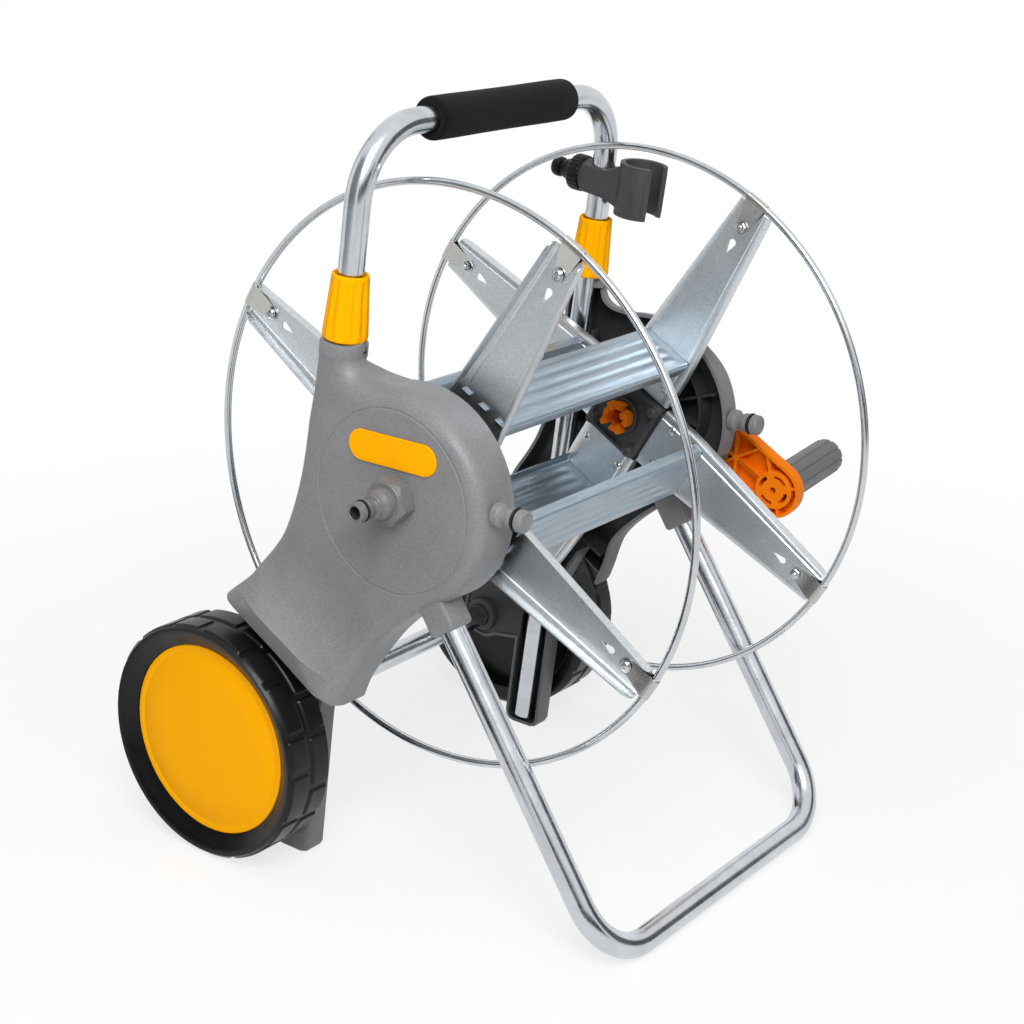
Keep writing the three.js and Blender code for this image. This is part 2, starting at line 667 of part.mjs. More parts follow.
// Square hub plate with four tongues behind the arms, screws and a bearing boss.
function hubPlate() {
  const webIn = HOOP_OUT - SHEET / 2;
  const webOut = HOOP_OUT + SHEET / 2;
  const pieces = [box(webIn - 6, webOut + 5, -HUB_HALF, HUB_HALF, -HUB_HALF, HUB_HALF)];
  for (let i = 0; i < 4; i++) {
    const turn = (i * Math.PI) / 2;
    pieces.push(box(webOut + GAP, webOut + 5, 20, 56, -25, 25).rotateX(turn));
    pieces.push(rodX(2, webIn - 2, webOut + 3, 44, 19, 6).rotateX(turn));
    pieces.push(rodX(3.8, webIn - GAP - 2, webIn - GAP, 44, 19, 6).rotateX(turn));
    pieces.push(rodX(5, webIn - 9, webIn, 22, 22, 8).rotateX(turn));
  }
  pieces.push(rodX(17, webIn, PANEL_IN - 0.5, 0, 0, 14));
  const made = cut(add(...pieces), holeX(SHAFT_RADIUS + GAP, 90, 200, 0, 0, 14));
  return aboutAxle(made, Math.PI / 6);
}

// Elbow that carries the water from the left hub to the hose inside the drum.
function outletElbow() {
  const flangeX = HOOP_OUT - SHEET / 2 - 6 - GAP;
  const made = add(
    rodX(15, flangeX - 3, flangeX, 0, 0, 12),
    rodX(11, flangeX - 22, flangeX, 0, 0, 12),
    rod(9, V(flangeX - 13, 0, 0), V(flangeX - 13, 34, 0), 12),
    rod(7.75, V(flangeX - 13, 30, 0), V(flangeX - 13, 46, 0), 12),
  );
  const bores = [
    holeX(SHAFT_RADIUS + GAP, flangeX - 9, flangeX + 9, 0, 0, 12),
    holeX(5, flangeX - 18, flangeX, 0, 0, 8),
    hole(4.5, V(flangeX - 13, 0, 0), V(flangeX - 13, 60, 0), 8),
  ];
  return aboutAxle(cut(made, ...bores), Math.PI / 6);
}

// ---------- inlet, bushes, studs, badge ----------
const NOZZLE_BORE = 5;

function inletNozzle() {
  const inEnd = HOOP_OUT - SHEET / 2 - 12;
  const profile = [
    [NOZZLE_BORE, inEnd], [SHAFT_RADIUS, inEnd], [SHAFT_RADIUS, 191],
    [11.5, 191], [11.5, 198], [8.8, 201.5], [8.8, 205], [6.4, 205], [6.4, 211],
    [7.75, 212.4], [7.75, 214.2], [6, 214.2], [6, 217.2], [7.75, 217.2],
    [7.75, 222.6], [7, 223.5], [NOZZLE_BORE, 223.5],
  ];
  return turned(profile, 14).translate(0, 0, AXLE_HEIGHT);
}

function inletRing() {
  const g = new THREE.TorusGeometry(7.4, 1.05, 5, 14).rotateY(Math.PI / 2);
  return g.translate(215.7, 0, AXLE_HEIGHT);
}

function inletNut() {
  const in0 = PANEL_OUT + GAP;
  const out = 190.5;
  const hex = rodX(19, in0, out, 0, 0, 6);
  const chamfer = turned([[0, in0 - 1], [22, in0 - 1], [22, out - 3.4], [16.7, out], [0, out]], 12);
  const bore = holeX(SHAFT_RADIUS + GAP, 100, 300, 0, 0, 14);
  return aboutAxle(cut(common(hex, chamfer), bore), 0.25);
}

// Plain bush between the panel's boss and the shaft.
function bush() {
  const profile = [
    [SHAFT_RADIUS + GAP, PANEL_IN + 0.6], [BUSH_RADIUS + 3, PANEL_IN + 0.6],
    [BUSH_RADIUS + 3, PANEL_IN + 1.7], [BUSH_RADIUS, PANEL_IN + 1.7],
    [BUSH_RADIUS, PANEL_OUT - 0.5], [SHAFT_RADIUS + GAP, PANEL_OUT - 0.5],
  ];
  return turned(profile, 14, SHAFT_RADIUS + GAP).translate(0, 0, AXLE_HEIGHT);
}

function parkStud() {
  const y = (d) => STUD_BASE + d;
  const profile = [
    [0, y(-6)], [5, y(-6)], [5, y(-1.1)], [9.2, y(-1.1)], [9.2, y(5)], [6.8, y(6.6)],
    [6.8, y(11)], [8.2, y(12)], [8.2, y(16.4)], [6.4, y(16.4)], [6.4, y(19.6)],
    [8.5, y(19.6)], [8.5, y(25)], [6.8, y(26.5)], [0, y(26.5)],
  ];
  return turned(profile, 12).rotateZ(-Math.PI / 2).translate(STUD_X, 0, STUD_Z);
}

function studRing() {
  const g = new THREE.TorusGeometry(8, 1.2, 5, 14).rotateX(Math.PI / 2);
  return g.translate(STUD_X, -STUD_BASE - 18, STUD_Z);
}

const BADGE = { y: 3.7, z: 34.4, halfLength: 41.5, halfHeight: 12, thick: 1.2 };
function badge() {
  const r = BADGE.halfHeight;
  const flat = BADGE.halfLength - r;
  const outline = [
    ...circle(r, 9, -Math.PI / 2, Math.PI / 2, flat, 0),
    ...circle(r, 9, Math.PI / 2, (3 * Math.PI) / 2, -flat, 0),
  ];
  const g = plate(outline, PANEL_OUT + GAP, PANEL_OUT + GAP + BADGE.thick);
  return g.translate(0, BADGE.y, AXLE_HEIGHT + BADGE.z);
}

// ---------- crank ----------
function crankOutline() {
  const hub = circle(CRANK_HUB_RADIUS, 9, Math.PI / 2, (3 * Math.PI) / 2);
  const end = circle(CRANK_END_RADIUS, 9, -Math.PI / 2, Math.PI / 2, CRANK_REACH, 0);
  return [...hub, ...end];
}

function arcSlot(r0, r1, from, to) {
  return [...circle(r1, 4, from, to), ...circle(r0, 4, from, to).reverse()].map(([a, b]) => [
    CRANK_REACH + a,
    b,
  ]);
}

// The arm and its grip are drawn upright and then splayed; the shaft keeps to the axle.
function crankArm() {
  const outline = crankOutline();
  const pocket = roundedPlate(outline, CRANK_IN - 9, CRANK_OUT - WALL, WALL, 1.5);
  const shell = cut(
    roundedPlate(outline, CRANK_IN, CRANK_OUT, 0, 3),
    box(0, CRANK_IN, -300, 300, -300, 300),
    pocket,
  );
  const floor = CRANK_OUT - WALL + 0.5;
  const post = CRANK_REACH * 0.648;
  const rib = (turn) => {
    const bar = box(CRANK_IN + 2, floor, -40, 40, -1.1, 1.1).rotateX(turn).translate(0, post, 0);
    return common(bar, roundedPlate(outline, CRANK_IN - 9, CRANK_OUT - 1, 1, 1));
  };
  const arm = cut(
    add(
      shell,
      rib(0),
      rib(Math.PI / 3),
      rib(-Math.PI / 3),
      rodX(3.2, CRANK_IN + 2, floor, post, 0, 10),
      rodX(15, CRANK_IN, floor, 0, 0, 14),
      rodX(17, CRANK_IN + 0.6, floor, CRANK_REACH, 0, 20),
    ),
    ...[0, 1, 2, 3].map((i) => {
      const a = (i * Math.PI) / 2 - 0.475;
      return plate(arcSlot(10.5, 13.5, a, a + 0.95), CRANK_IN - 5, CRANK_IN + 4);
    }),
    holeX(PIN_RADIUS + GAP, 100, 300, CRANK_REACH, 0, 10),
  );
  const shaft = [
    rodX(SHAFT_RADIUS, HOOP_OUT - 9, CRANK_IN + 4, 0, 0, 14),
    ...[0, 1, 2, 3].map((i) => {
      const lobe = box(HOOP_OUT - 14.5, HOOP_OUT - 7, 3, 13, -5, 5);
      return lobe.rotateX((i * Math.PI) / 2 + 0.4);
    }),
  ];
  return aboutAxle(add(splayed(arm), ...shaft), CRANK_ANGLE);
}

// Steel pin the crank's grip turns on, with a head inside the grip's end.
function crankPin() {
  const profile = [
    [0, CRANK_IN + 2], [PIN_RADIUS, CRANK_IN + 2], [PIN_RADIUS, PIN_HEAD_IN],
    [PIN_HEAD_RADIUS, PIN_HEAD_IN], [PIN_HEAD_RADIUS, PIN_HEAD_IN + 3], [0, PIN_HEAD_IN + 3],
  ];
  return aboutAxle(splayed(turned(profile, 10).translate(0, CRANK_REACH, 0)), CRANK_ANGLE);
}

function crankGrip() {
  const start = CRANK_OUT + 2;
  const section = toothed(CRANK_GRIP_RADIUS, 0.9, 10, 0.8);
  const bar = roundedPlate(section, start, CRANK_GRIP_OUT, 0, 3.5);
  const made = cut(
    bar,
    box(0, start, -99, 99, -99, 99),
    holeX(PIN_RADIUS + GAP, 100, 400, 0, 0, 10),
    holeX(PIN_HEAD_RADIUS + GAP, PIN_HEAD_IN - GAP, 400, 0, 0, 10),
  );
  return aboutAxle(splayed(made.translate(0, CRANK_REACH, 0)), CRANK_ANGLE);
}

// ---------- nozzle holder ----------
// Drawn about the handle leg's own axis: local Z along the leg, -Y to the front.
function nozzleHolder() {
  const clampOut = TUBE_RADIUS + 5.5;
  const clip = (r) => rod(r, V(0, -CLIP_OFFSET, -22), V(0, -CLIP_OFFSET, 22), 16);
  const mouth = box(-11.5, 11.5, -CLIP_OFFSET - 40, -CLIP_OFFSET, -60, 60);
  const made = cut(
    add(
      rod(clampOut, V(0, 0, -12), V(0, 0, 12), 16),
      clip(CLIP_RADIUS),
      box(-13, 13, -CLIP_OFFSET + 6, 2, -11, 11),
      rod(13.5, V(0, 8, 0), V(0, 16, 0), 14),
    ),
    clip(CLIP_RADIUS - 4.5).scale(1, 1, 1.2),
    mouth,
    hole(TUBE_RADIUS + GAP, V(0, 0, -40), V(0, 0, 40), 16),
  );
  return onHandle(made, HOLDER_Z);
}

function holderConnector() {
  const start = 16 + GAP;
  const profile = [
    [0, start], [15.5, start], [15.5, start + 11], [11, start + 14], [8.6, start + 16],
    [8.6, start + 20], [6.4, start + 20.5], [6.4, start + 24], [8.4, start + 25],
    [8.4, start + 31], [6.6, start + 33], [0, start + 33],
  ];
  return onHandle(turned(profile, 14).rotateZ(Math.PI / 2), HOLDER_Z);
}

// ---------- assembly ----------
const paint = (color, roughness, metalness = 0) =>
  new THREE.MeshStandardMaterial({ color, roughness, metalness });
const grey = paint(0x7d7e80, 0.55);
const darkGrey = paint(0x4a4b4d, 0.55);
const black = paint(0x161616, 0.8);
const yellow = paint(0xffae00, 0.45);
const orange = paint(0xe8700a, 0.45);
const zinc = paint(0xc4c8cc, 0.3, 1);
const steel = paint(0xb2b6ba, 0.35, 1);

const pieces = [];
const piece = (name, geometry, material) => pieces.push([name, outward(geometry), material]);
function pair(name, geometry, material) {
  piece(name + "_right", geometry, material);
  piece(name + "_left", mirrored(geometry), material);
}

pair("side_panel", sidePanel(), grey);
piece("stand_tube", standTube(), zinc);
piece("axle_tube", axleTube(), zinc);
pair("axle_cap", axleCap(), steel);
pair("wheel", wheel(), black);
pair("wheel_cap", wheelCap(), yellow);
piece("handle_tube", handleTube(), zinc);
piece("foam_grip", foamGrip(), black);
pair("collar", collar(), yellow);
piece("nozzle_holder", nozzleHolder(), darkGrey);
piece("holder_connector", holderConnector(), black);
pair("park_stud", parkStud(), grey);
pair("stud_ring", studRing(), black);
piece("inlet_nut", mirrored(inletNut()), grey);
piece("inlet_nozzle", mirrored(inletNozzle()), grey);
piece("inlet_ring", mirrored(inletRing()), black);
piece("badge", mirrored(badge()), yellow);
pair("bush", bush(), darkGrey);
pair("hoop", hoop(), zinc);
ARM_ANGLES.forEach((degrees, i) => {
  const angle = THREE.MathUtils.degToRad(degrees);
  pair("arm_" + (i + 1), arm(angle), zinc);
  pair("clip_" + (i + 1), hoopClip(angle), steel);
  piece("slat_" + (i + 1), slat(angle), zinc);
});
pair("hub_plate", hubPlate(), darkGrey);
piece("outlet_elbow", mirrored(outletElbow()), darkGrey);
piece("crank_arm", crankArm(), orange);
piece("crank_pin", crankPin(), steel);
piece("crank_grip", crankGrip(), grey);

// The part stands on the floor with its box's middle at the origin.
const whole = new THREE.Box3();
for (const [, geometry] of pieces) {
  geometry.computeBoundingBox();
  whole.union(geometry.boundingBox);
}
const middle = whole.getCenter(new THREE.Vector3());
const group = new THREE.Group();
group.name = "hose_reel_cart";
for (const [name, geometry, material] of pieces) {
  geometry.translate(-middle.x, -middle.y, -whole.min.z);
  geometry.computeVertexNormals();
  const mesh = new THREE.Mesh(geometry, material);
  mesh.name = name;
  group.add(mesh);
}

export default group;
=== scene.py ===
"""Garden hose reel cart: the looks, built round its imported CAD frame.

Everything is drawn in millimetres in the cart's own axes: X out from the middle plane (crank on +X),
Y back from the drum's axle and Z up from the floor. keep() then takes a finished piece to the frame,
in metres. Pieces of the two sides are drawn on +X and mirrored for the left.
"""

import json
import math
from types import SimpleNamespace

import bmesh
import bpy
import numpy as np
from bpy.props import FloatProperty, FloatVectorProperty, IntProperty, PointerProperty
from mathutils import Matrix, Vector
from mathutils.geometry import delaunay_2d_cdt


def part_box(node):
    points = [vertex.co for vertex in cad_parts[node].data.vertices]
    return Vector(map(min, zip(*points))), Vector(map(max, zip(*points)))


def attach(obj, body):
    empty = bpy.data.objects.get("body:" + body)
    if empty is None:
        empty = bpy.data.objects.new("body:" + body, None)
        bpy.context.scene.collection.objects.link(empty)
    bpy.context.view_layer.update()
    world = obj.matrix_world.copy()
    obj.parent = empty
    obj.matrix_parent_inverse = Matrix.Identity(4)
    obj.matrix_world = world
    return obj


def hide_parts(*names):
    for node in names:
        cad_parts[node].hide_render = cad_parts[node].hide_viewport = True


bl_info = {
    "name": "Hose Reel Cart",
    "version": (1, 0, 0),
    "blender": (4, 5, 0),
    "location": "View3D > Sidebar > Hose Reel",
    "description": "Builds a garden hose reel cart round its CAD frame",
    "category": "Add Mesh",
}

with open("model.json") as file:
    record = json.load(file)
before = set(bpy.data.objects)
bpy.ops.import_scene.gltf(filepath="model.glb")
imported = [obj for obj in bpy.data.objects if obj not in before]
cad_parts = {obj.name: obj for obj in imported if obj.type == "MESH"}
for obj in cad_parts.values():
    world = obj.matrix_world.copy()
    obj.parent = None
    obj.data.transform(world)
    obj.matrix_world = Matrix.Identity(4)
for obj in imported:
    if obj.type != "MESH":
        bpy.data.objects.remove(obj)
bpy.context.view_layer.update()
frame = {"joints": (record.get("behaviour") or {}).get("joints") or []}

# ---------- the cart's axes, read from the frame ----------
MM = 0.001
JOINTS = {j["name"]: j for j in frame["joints"]}


def joint_at(name):
    return Vector(JOINTS[name]["pos_m"])


MIDDLE_X = (joint_at("wheel_right_spin").x + joint_at("wheel_left_spin").x) / 2
ORIGIN = Vector((MIDDLE_X, joint_at("drum_spin").y, 0.0))
TO_FRAME = Matrix.Translation(ORIGIN) @ Matrix.Scale(MM, 4)


def local(point):
    """A point of the frame in the cart's own millimetres."""
    return (Vector(point) - ORIGIN) / MM


def span(node):
    """Lowest and highest corner of a CAD node in the cart's own millimetres."""
    low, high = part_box(node)
    return local(low), local(high)


AXLE = Vector((0, 0, local(joint_at("drum_spin")).z))
WHEEL_AT = local(joint_at("wheel_right_spin"))
HANDLE_UP = Vector(JOINTS["handle_slide"]["axis"]).normalized()
LEAN = math.atan2(-HANDLE_UP.y, HANDLE_UP.z)
COLLAR_AT = local(joint_at("collar_right_twist"))
HOLDER_AT = local(joint_at("nozzle_holder_swivel"))
HANDLE_X = COLLAR_AT.x
TUBE_RADIUS = 10.0
HANDLE_TOP_Z = span("handle_tube")[1].z - TUBE_RADIUS
HANDLE_FOOT_Z = 7.0
HOOP_RADIUS = 225.0


def handle_y(z):
    """Y of the handle legs' centre line at a height."""
    return COLLAR_AT.y - (z - COLLAR_AT.z) * math.tan(LEAN)


# ---------- settings ----------
def distance(name, description, mm):
    """A length shown in the sidebar, from its size in millimetres."""
    shown = {"precision": 4, "subtype": "DISTANCE"}
    return FloatProperty(name=name, description=description, default=mm * MM, **shown)


def linear(code):
    """Linear colour of an sRGB hex value."""
    channels = [int(code[i : i + 2], 16) / 255 for i in (0, 2, 4)]
    return (*[c / 12.92 if c <= 0.04045 else ((c + 0.055) / 1.055) ** 2.4 for c in channels], 1.0)


def watts(name, description, value):
    """A lamp's power shown in the sidebar."""
    return FloatProperty(name=name, description=description, default=value, unit="POWER")


def paint(name, description, code):
    """A colour shown in the sidebar, from its sRGB hex value."""
    value = linear(code)
    return FloatVectorProperty(name=name, description=description, default=value, size=4, subtype="COLOR")


class PanelSettings(bpy.types.PropertyGroup):
    """Sizes of the moulded side panels."""

    inner: distance("Inner edge", "Open side, from the middle", 137.5)
    outer: distance("Outer face", "Outer face, from the middle", 177.5)
    wall: distance("Wall", "Thickness of the moulding", 3.0)
    disc: distance("Disc radius", "Round part about the axle", 84.4)
    groove: distance("Groove radius", "Shallow ring on the face", 70.9)
    edge: distance("Edge round", "Rounding of the face's edge", 11.0)
    guard: distance("Mudguard", "Mudguard's outer face, from the middle", 200.0)
    leg: distance("Leg", "Outer face of the leg, from the middle", 169.0)
    leg_inner: distance("Leg's inner edge", "Open side of the leg, from the middle", 149.0)
    crank_inner: distance("Crank side, inner edge", "Open side of the shallower right panel", 156.4)
    crank_outer: distance("Crank side, outer face", "Outer face of the right panel", 180.5)


class DrumSettings(bpy.types.PropertyGroup):
    """Sizes of the drum."""

    plane: distance("Flange plane", "Hoops and arms, from the middle", 124.0)
    wire: distance("Wire radius", "Radius of the hoops' wire", 3.0)
    sheet: distance("Sheet", "Thickness of the sheet steel", 1.2)
    flange: distance("Flange", "Height of an arm's edge folds", 10.0)
    slats: distance("Slat reach", "A slat's outer face, from the axle", 76.5)


class WheelSettings(bpy.types.PropertyGroup):
    """Sizes of the wheels."""

    radius: distance("Radius", "Over the tread", 99.2)
    inner: distance("Inner face", "From the middle", 173.7)
    outer: distance("Outer face", "From the middle", 221.4)
    disc: distance("Disc radius", "Coloured disc", 80.0)
    blocks: IntProperty(name="Tread blocks", description="Blocks in one row", default=16)


class ColourSettings(bpy.types.PropertyGroup):
    """Colours of the plastics."""

    grey: paint("Grey", "Side panels and fittings", "7d7e80")
    dark: paint("Dark grey", "Hubs and nozzle holder", "414244")
    yellow: paint("Yellow", "Collars and wheel discs", "ffae00")
    orange: paint("Orange", "Crank", "f27c0e")


class StageSettings(bpy.types.PropertyGroup):
    """Strengths of the lights."""

    key: watts("Key lamp", "Lamp from the front left", 44.0)
    top: watts("Top lamp", "Lamp from above", 14.0)
    fill: watts("Fill lamp", "Lamp from the front right", 5.0)
    room: FloatProperty(name="Room", description="Light from all around", default=0.2, subtype="FACTOR")


def in_mm(settings):
    """The settings as plain numbers, with lengths in millimetres."""
    sizes = SimpleNamespace()
    for name in settings.__annotations__:
        value = getattr(settings, name)
        setattr(sizes, name, value / MM if isinstance(value, float) else value)
    return sizes


# ---------- modelling tools ----------
SLACK = 0.01  # Points this close count as one, and lie in one plane.


def deselect():
    if bpy.context.mode != "OBJECT":
        bpy.ops.object.mode_set(mode="OBJECT")
    bpy.ops.object.select_all(action="DESELECT")


def only(obj):
    """Makes one object the only selected and the active one."""
    deselect()
    obj.select_set(True)
    bpy.context.view_layer.objects.active = obj
    return obj


def pick(obj, kind, test=lambda item: True):
    """Opens edit mode with only the vertices, edges or faces that pass the test selected."""
    only(obj)
    bpy.ops.object.mode_set(mode="EDIT")
    bpy.ops.mesh.select_mode(type=kind)
    bpy.ops.mesh.select_all(action="DESELECT")
    form = bmesh.from_edit_mesh(obj.data)
    for item in {"VERT": form.verts, "EDGE": form.edges, "FACE": form.faces}[kind]:
        if test(item):
            item.select_set(True)
    form.select_mode = {kind}
    form.select_flush_mode()
    bmesh.update_edit_mesh(obj.data)


def tidy(obj, merge=SLACK):
    """Merges doubles, drops loose bits and turns all faces outwards."""
    pick(obj, "VERT")
    bpy.ops.mesh.remove_doubles(threshold=merge)
    bpy.ops.mesh.delete_loose(use_verts=True, use_edges=True)
    bpy.ops.mesh.select_all(action="SELECT")
    bpy.ops.mesh.normals_make_consistent(inside=False)
    deselect()
    return obj


def at_x(x):
    """A test that passes edges or faces that lie in the plane at x."""
    return lambda item: all(abs(v.co.x - x) < SLACK for v in item.verts)


def along_x(item):
    """A test that passes edges that run along X."""
    a, b = (v.co for v in item.verts)
    return math.hypot(a.y - b.y, a.z - b.z) < SLACK


def prism(points, x0, x1):
    """A solid with an outline of (Y, Z) points, thick along X."""
    deselect()
    bpy.ops.mesh.primitive_circle_add(vertices=len(points), fill_type="NGON")
    obj = bpy.context.object
    for vertex, (y, z) in zip(obj.data.vertices, points):
        vertex.co = (x0, y, z)
    pick(obj, "FACE")
    bpy.ops.mesh.extrude_region_move(TRANSFORM_OT_translate={"value": (x1 - x0, 0, 0)})
    return tidy(obj)


def block(x0, x1, y0, y1, z0, z1, edge=0.0, segments=2):
    """A box with all its edges rounded."""
    deselect()
    middle = ((x0 + x1) / 2, (y0 + y1) / 2, (z0 + z1) / 2)
    bpy.ops.mesh.primitive_cube_add(size=1, scale=(x1 - x0, y1 - y0, z1 - z0), location=middle)
    bpy.ops.object.transform_apply(location=True, rotation=True, scale=True)
    obj = bpy.context.object
    if edge:
        soften(obj, lambda item: True, edge, segments)
    return obj


def soften(obj, test, width, segments=3):
    """Rounds the edges that pass a test."""
    pick(obj, "EDGE", test)
    bpy.ops.mesh.bevel(offset=width, segments=segments, affect="EDGES", clamp_overlap=True)
    deselect()
    return obj


def turned(profile, steps=72):
    """A solid turned about the X axis from a closed outline of (radius, X) points."""
    deselect()
    bpy.ops.mesh.primitive_circle_add(vertices=len(profile), fill_type="NOTHING")
    obj = bpy.context.object
    for vertex, (r, x) in zip(obj.data.vertices, profile):
        vertex.co = (x, r, 0)
    pick(obj, "VERT")
    bpy.ops.mesh.spin(steps=steps, angle=2 * math.pi, center=(0, 0, 0), axis=(1, 0, 0))
    return tidy(obj)


def sleeve(bore, radius, x0, x1):
    """A round sleeve along X."""
    return turned([(bore, x0), (radius, x0), (radius, x1), (bore, x1)])


def wire(points, radius, detail=6, closed=False):
    """A round bar along a line of points."""
    deselect()
    bpy.ops.curve.primitive_nurbs_path_add()
    obj = bpy.context.object
    line = obj.data
    line.splines.clear()
    spline = line.splines.new("POLY")
    spline.points.add(len(points) - 1)
    for point, place in zip(spline.points, points):
        point.co = (*place, 1)
    spline.use_cyclic_u = closed
    line.bevel_depth = radius
    line.bevel_resolution = detail
    line.use_fill_caps = not closed
    bpy.ops.object.convert(target="MESH")
    return tidy(bpy.context.object, 0.001)


def modify(obj, kind, **settings):
    """Adds a modifier and applies it."""
    only(obj)
    made = obj.modifiers.new(kind.title(), kind)
    for key, value in settings.items():
        setattr(made, key, value)
    bpy.ops.object.modifier_apply(modifier=made.name)
    return obj


def carve(obj, *tools, how="DIFFERENCE"):
    """Cuts the tools out of a solid, or keeps only what lies in them."""
    for tool in tools:
        modify(obj, "BOOLEAN", operation=how, solver="EXACT", object=tool)
        bpy.data.objects.remove(tool)
    return obj


def mark(obj, start=0, end=None, value=1.0):
    """Paints shade on faces from start to end: a face attribute that darkens the grey plastic, mostly on
    faces that lie in a panel's hollow, where little light gets in.
    """
    layer = obj.data.attributes.get("hollow") or obj.data.attributes.new("hollow", "FLOAT", "FACE")
    for item in list(layer.data)[start:end]:
        item.value = value
    return obj


def mark_where(obj, test, value=1.0):
    """Paints shade on the faces whose middle and normal pass a test; a stronger painted shade stays."""
    mark(obj, 0, 0)
    layer = obj.data.attributes["hollow"]
    for face, item in zip(obj.data.polygons, layer.data):
        if test(face.center, face.normal):
            item.value = max(item.value, value)
    return obj


def built(name, verts, faces):
    """An object from its points and faces."""
    mesh = bpy.data.meshes.new(name)
    mesh.from_pydata([tuple(v) for v in verts], [], faces)
    obj = bpy.data.objects.new(name, mesh)
    bpy.context.collection.objects.link(obj)
    return obj


def grid_faces(rows, columns, around=False, closed=False, left_out=lambda i, j: False):
    """Faces between rows of points. 'around' joins a row's ends, 'closed' the last row to the first."""
    faces = []
    for i in range(rows if closed else rows - 1):
        k = (i + 1) % rows
        for j in range(columns if around else columns - 1):
            n = (j + 1) % columns
            if not left_out(i, j):
                faces.append((i * columns + j, i * columns + n, k * columns + n, k * columns + j))
    return faces


def fluted(name, rows, around, groove, upright=False):
    """A solid of (place, radius, depth) rows; groove(j) times the depth cuts into column j."""
    verts = []
    for place, radius, depth in rows:
        for j in range(around):
            a = math.tau * j / around
            r = radius - groove(j, depth)
            c, s = r * math.cos(a), r * math.sin(a)
            verts.append((c, s, place) if upright else (place, c, s))
    return tidy(built(name, verts, grid_faces(len(rows), around, True, True)))


def walled(obj, thick):
    """Gives a skin its thickness, inwards, and paints shade on the new inner faces."""
    count = len(obj.data.polygons)
    modify(obj, "SOLIDIFY", thickness=thick, offset=-1, use_even_offset=True)
    return mark(obj, count, 2 * count)


def gather(*parts):
    """Makes one object of several."""
    only(parts[0])
    for part in parts:
        part.select_set(True)
    bpy.ops.object.join()
    return bpy.context.object


def shift(obj, matrix):
    """Moves a piece's mesh; a mirrored one gets its faces turned back outwards."""
    obj.data.transform(matrix)
    if matrix.determinant() < 0:
        obj.data.flip_normals()
    return obj


def copy_of(obj, matrix):
    """A copy with its own mesh, moved by the matrix."""
    made = obj.copy()
    made.data = obj.data.copy()
    bpy.context.collection.objects.link(made)
    return shift(made, matrix)


MIRROR = Matrix.Scale(-1, 4, (1, 0, 0))
X_TO_Y = Matrix.Rotation(math.pi / 2, 4, "Z")
X_TO_Z = Matrix.Rotation(-math.pi / 2, 4, "Y")


def keep(obj, name, body, slot, replaces=(), angle=32, finish=None):
    """Finishes a piece: smooth shading, place in the frame, the material of its slot or finish, and its
    body.
    """
    only(obj)
    bpy.ops.object.shade_smooth_by_angle(angle=math.radians(angle))
    shift(obj, TO_FRAME)
    obj.name = name
    obj.data.name = name
    obj.data.materials.clear()
    obj.data.materials.append(FINISH[finish or slot])
    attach(obj, body)
    if replaces:
        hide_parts(*replaces)
    return obj


def keep_pair(obj, name, body, slot, replaces=(), angle=32, finish=None):
    """Keeps a piece of the right side and its mirror image. A star in a name stands for the side."""
    twin = copy_of(obj, MIRROR)
    for side, made in (("right", obj), ("left", twin)):
        nodes = [n.replace("*", side) for n in replaces]
        keep(made, name + "_" + side, body.replace("*", side), slot, nodes, angle, finish)


# ---------- lines ----------
def arc(radius, start, end, count, y=0.0, z=0.0):
    """Points on a circle, from one angle to the other."""
    turn = (end - start) / (count - 1)
    angles = [start + turn * i for i in range(count)]
    return [(y + radius * math.cos(a), z + radius * math.sin(a)) for a in angles]


def ring(radius, count, y=0.0, z=0.0):
    """Points all round a circle."""
    return arc(radius, 0, 2 * math.pi * (1 - 1 / count), count, y, z)


def smooth_line(points, step=3.0):
    """A smooth line through the points, with a point about every step."""
    p = [Vector(q) for q in points]
    line = []
    for i in range(len(p) - 1):
        a, b, c, d = p[max(i - 1, 0)], p[i], p[i + 1], p[min(i + 2, len(p) - 1)]
        count = max(1, round((c - b).length / step))
        for k in range(count):
            t = k / count
            curve = (2 * a - 5 * b + 4 * c - d) * t * t + (3 * b - a - 3 * c + d) * t**3
            line.append(0.5 * (2 * b + (c - a) * t + curve))
    return [tuple(q) for q in line] + [tuple(p[-1])]


def ease(value, start, end):
    """0 before start, 1 after end, smooth between."""
    t = np.clip((value - start) / (end - start), 0, 1)
    return t * t * (3 - 2 * t)


# ---------- places on the cart ----------
def at_axle(angle=0.0):
    """The drum's axle, turned by an angle."""
    return Matrix.Translation(AXLE) @ Matrix.Rotation(angle, 4, "X")


def at_wheel():
    return Matrix.Translation((0, WHEEL_AT.y, WHEEL_AT.z))


def on_handle(x, z):
    """A point of the handle's centre line, leaning as the handle does."""
    return Matrix.Translation((x, handle_y(z), z)) @ Matrix.Rotation(LEAN, 4, "X")


# ---------- side panels ----------
GUARD_TILT = math.radians(29.6)
GUARD_FRONT = (54.2, 159.0)
GUARD_LENGTH = 125.0
DISC_AT = (5.6, AXLE.z - 4.8)
NECK_TOP = span("collar_right")[0].z - 0.3
NECK_RADIUS = 18.0
LIP_BAND = 16.0  # Height of the band along the mudguard's lip.
FLARE_TOP = 78.0  # Where the mudguard starts to flare, above the lip.
GUARD_ROOF = 21.5  # Height of the roof over the wheel, above the lip.
STAND_X = 160.4
STAND_BAR = (-195.7, TUBE_RADIUS)
STAND_RAKE = math.radians(34.2)


def guard_point(u, w):
    """(Y, Z) of a point u along the mudguard's lip and w above it."""
    c, s = math.cos(GUARD_TILT), math.sin(GUARD_TILT)
    return (GUARD_FRONT[0] + u * c - w * s, GUARD_FRONT[1] + u * s + w * c)


def guard_frame():
    """Takes X, u and w of the mudguard to X, Y and Z."""
    return Matrix.Translation((0, *GUARD_FRONT)) @ Matrix.Rotation(GUARD_TILT, 4, "X")


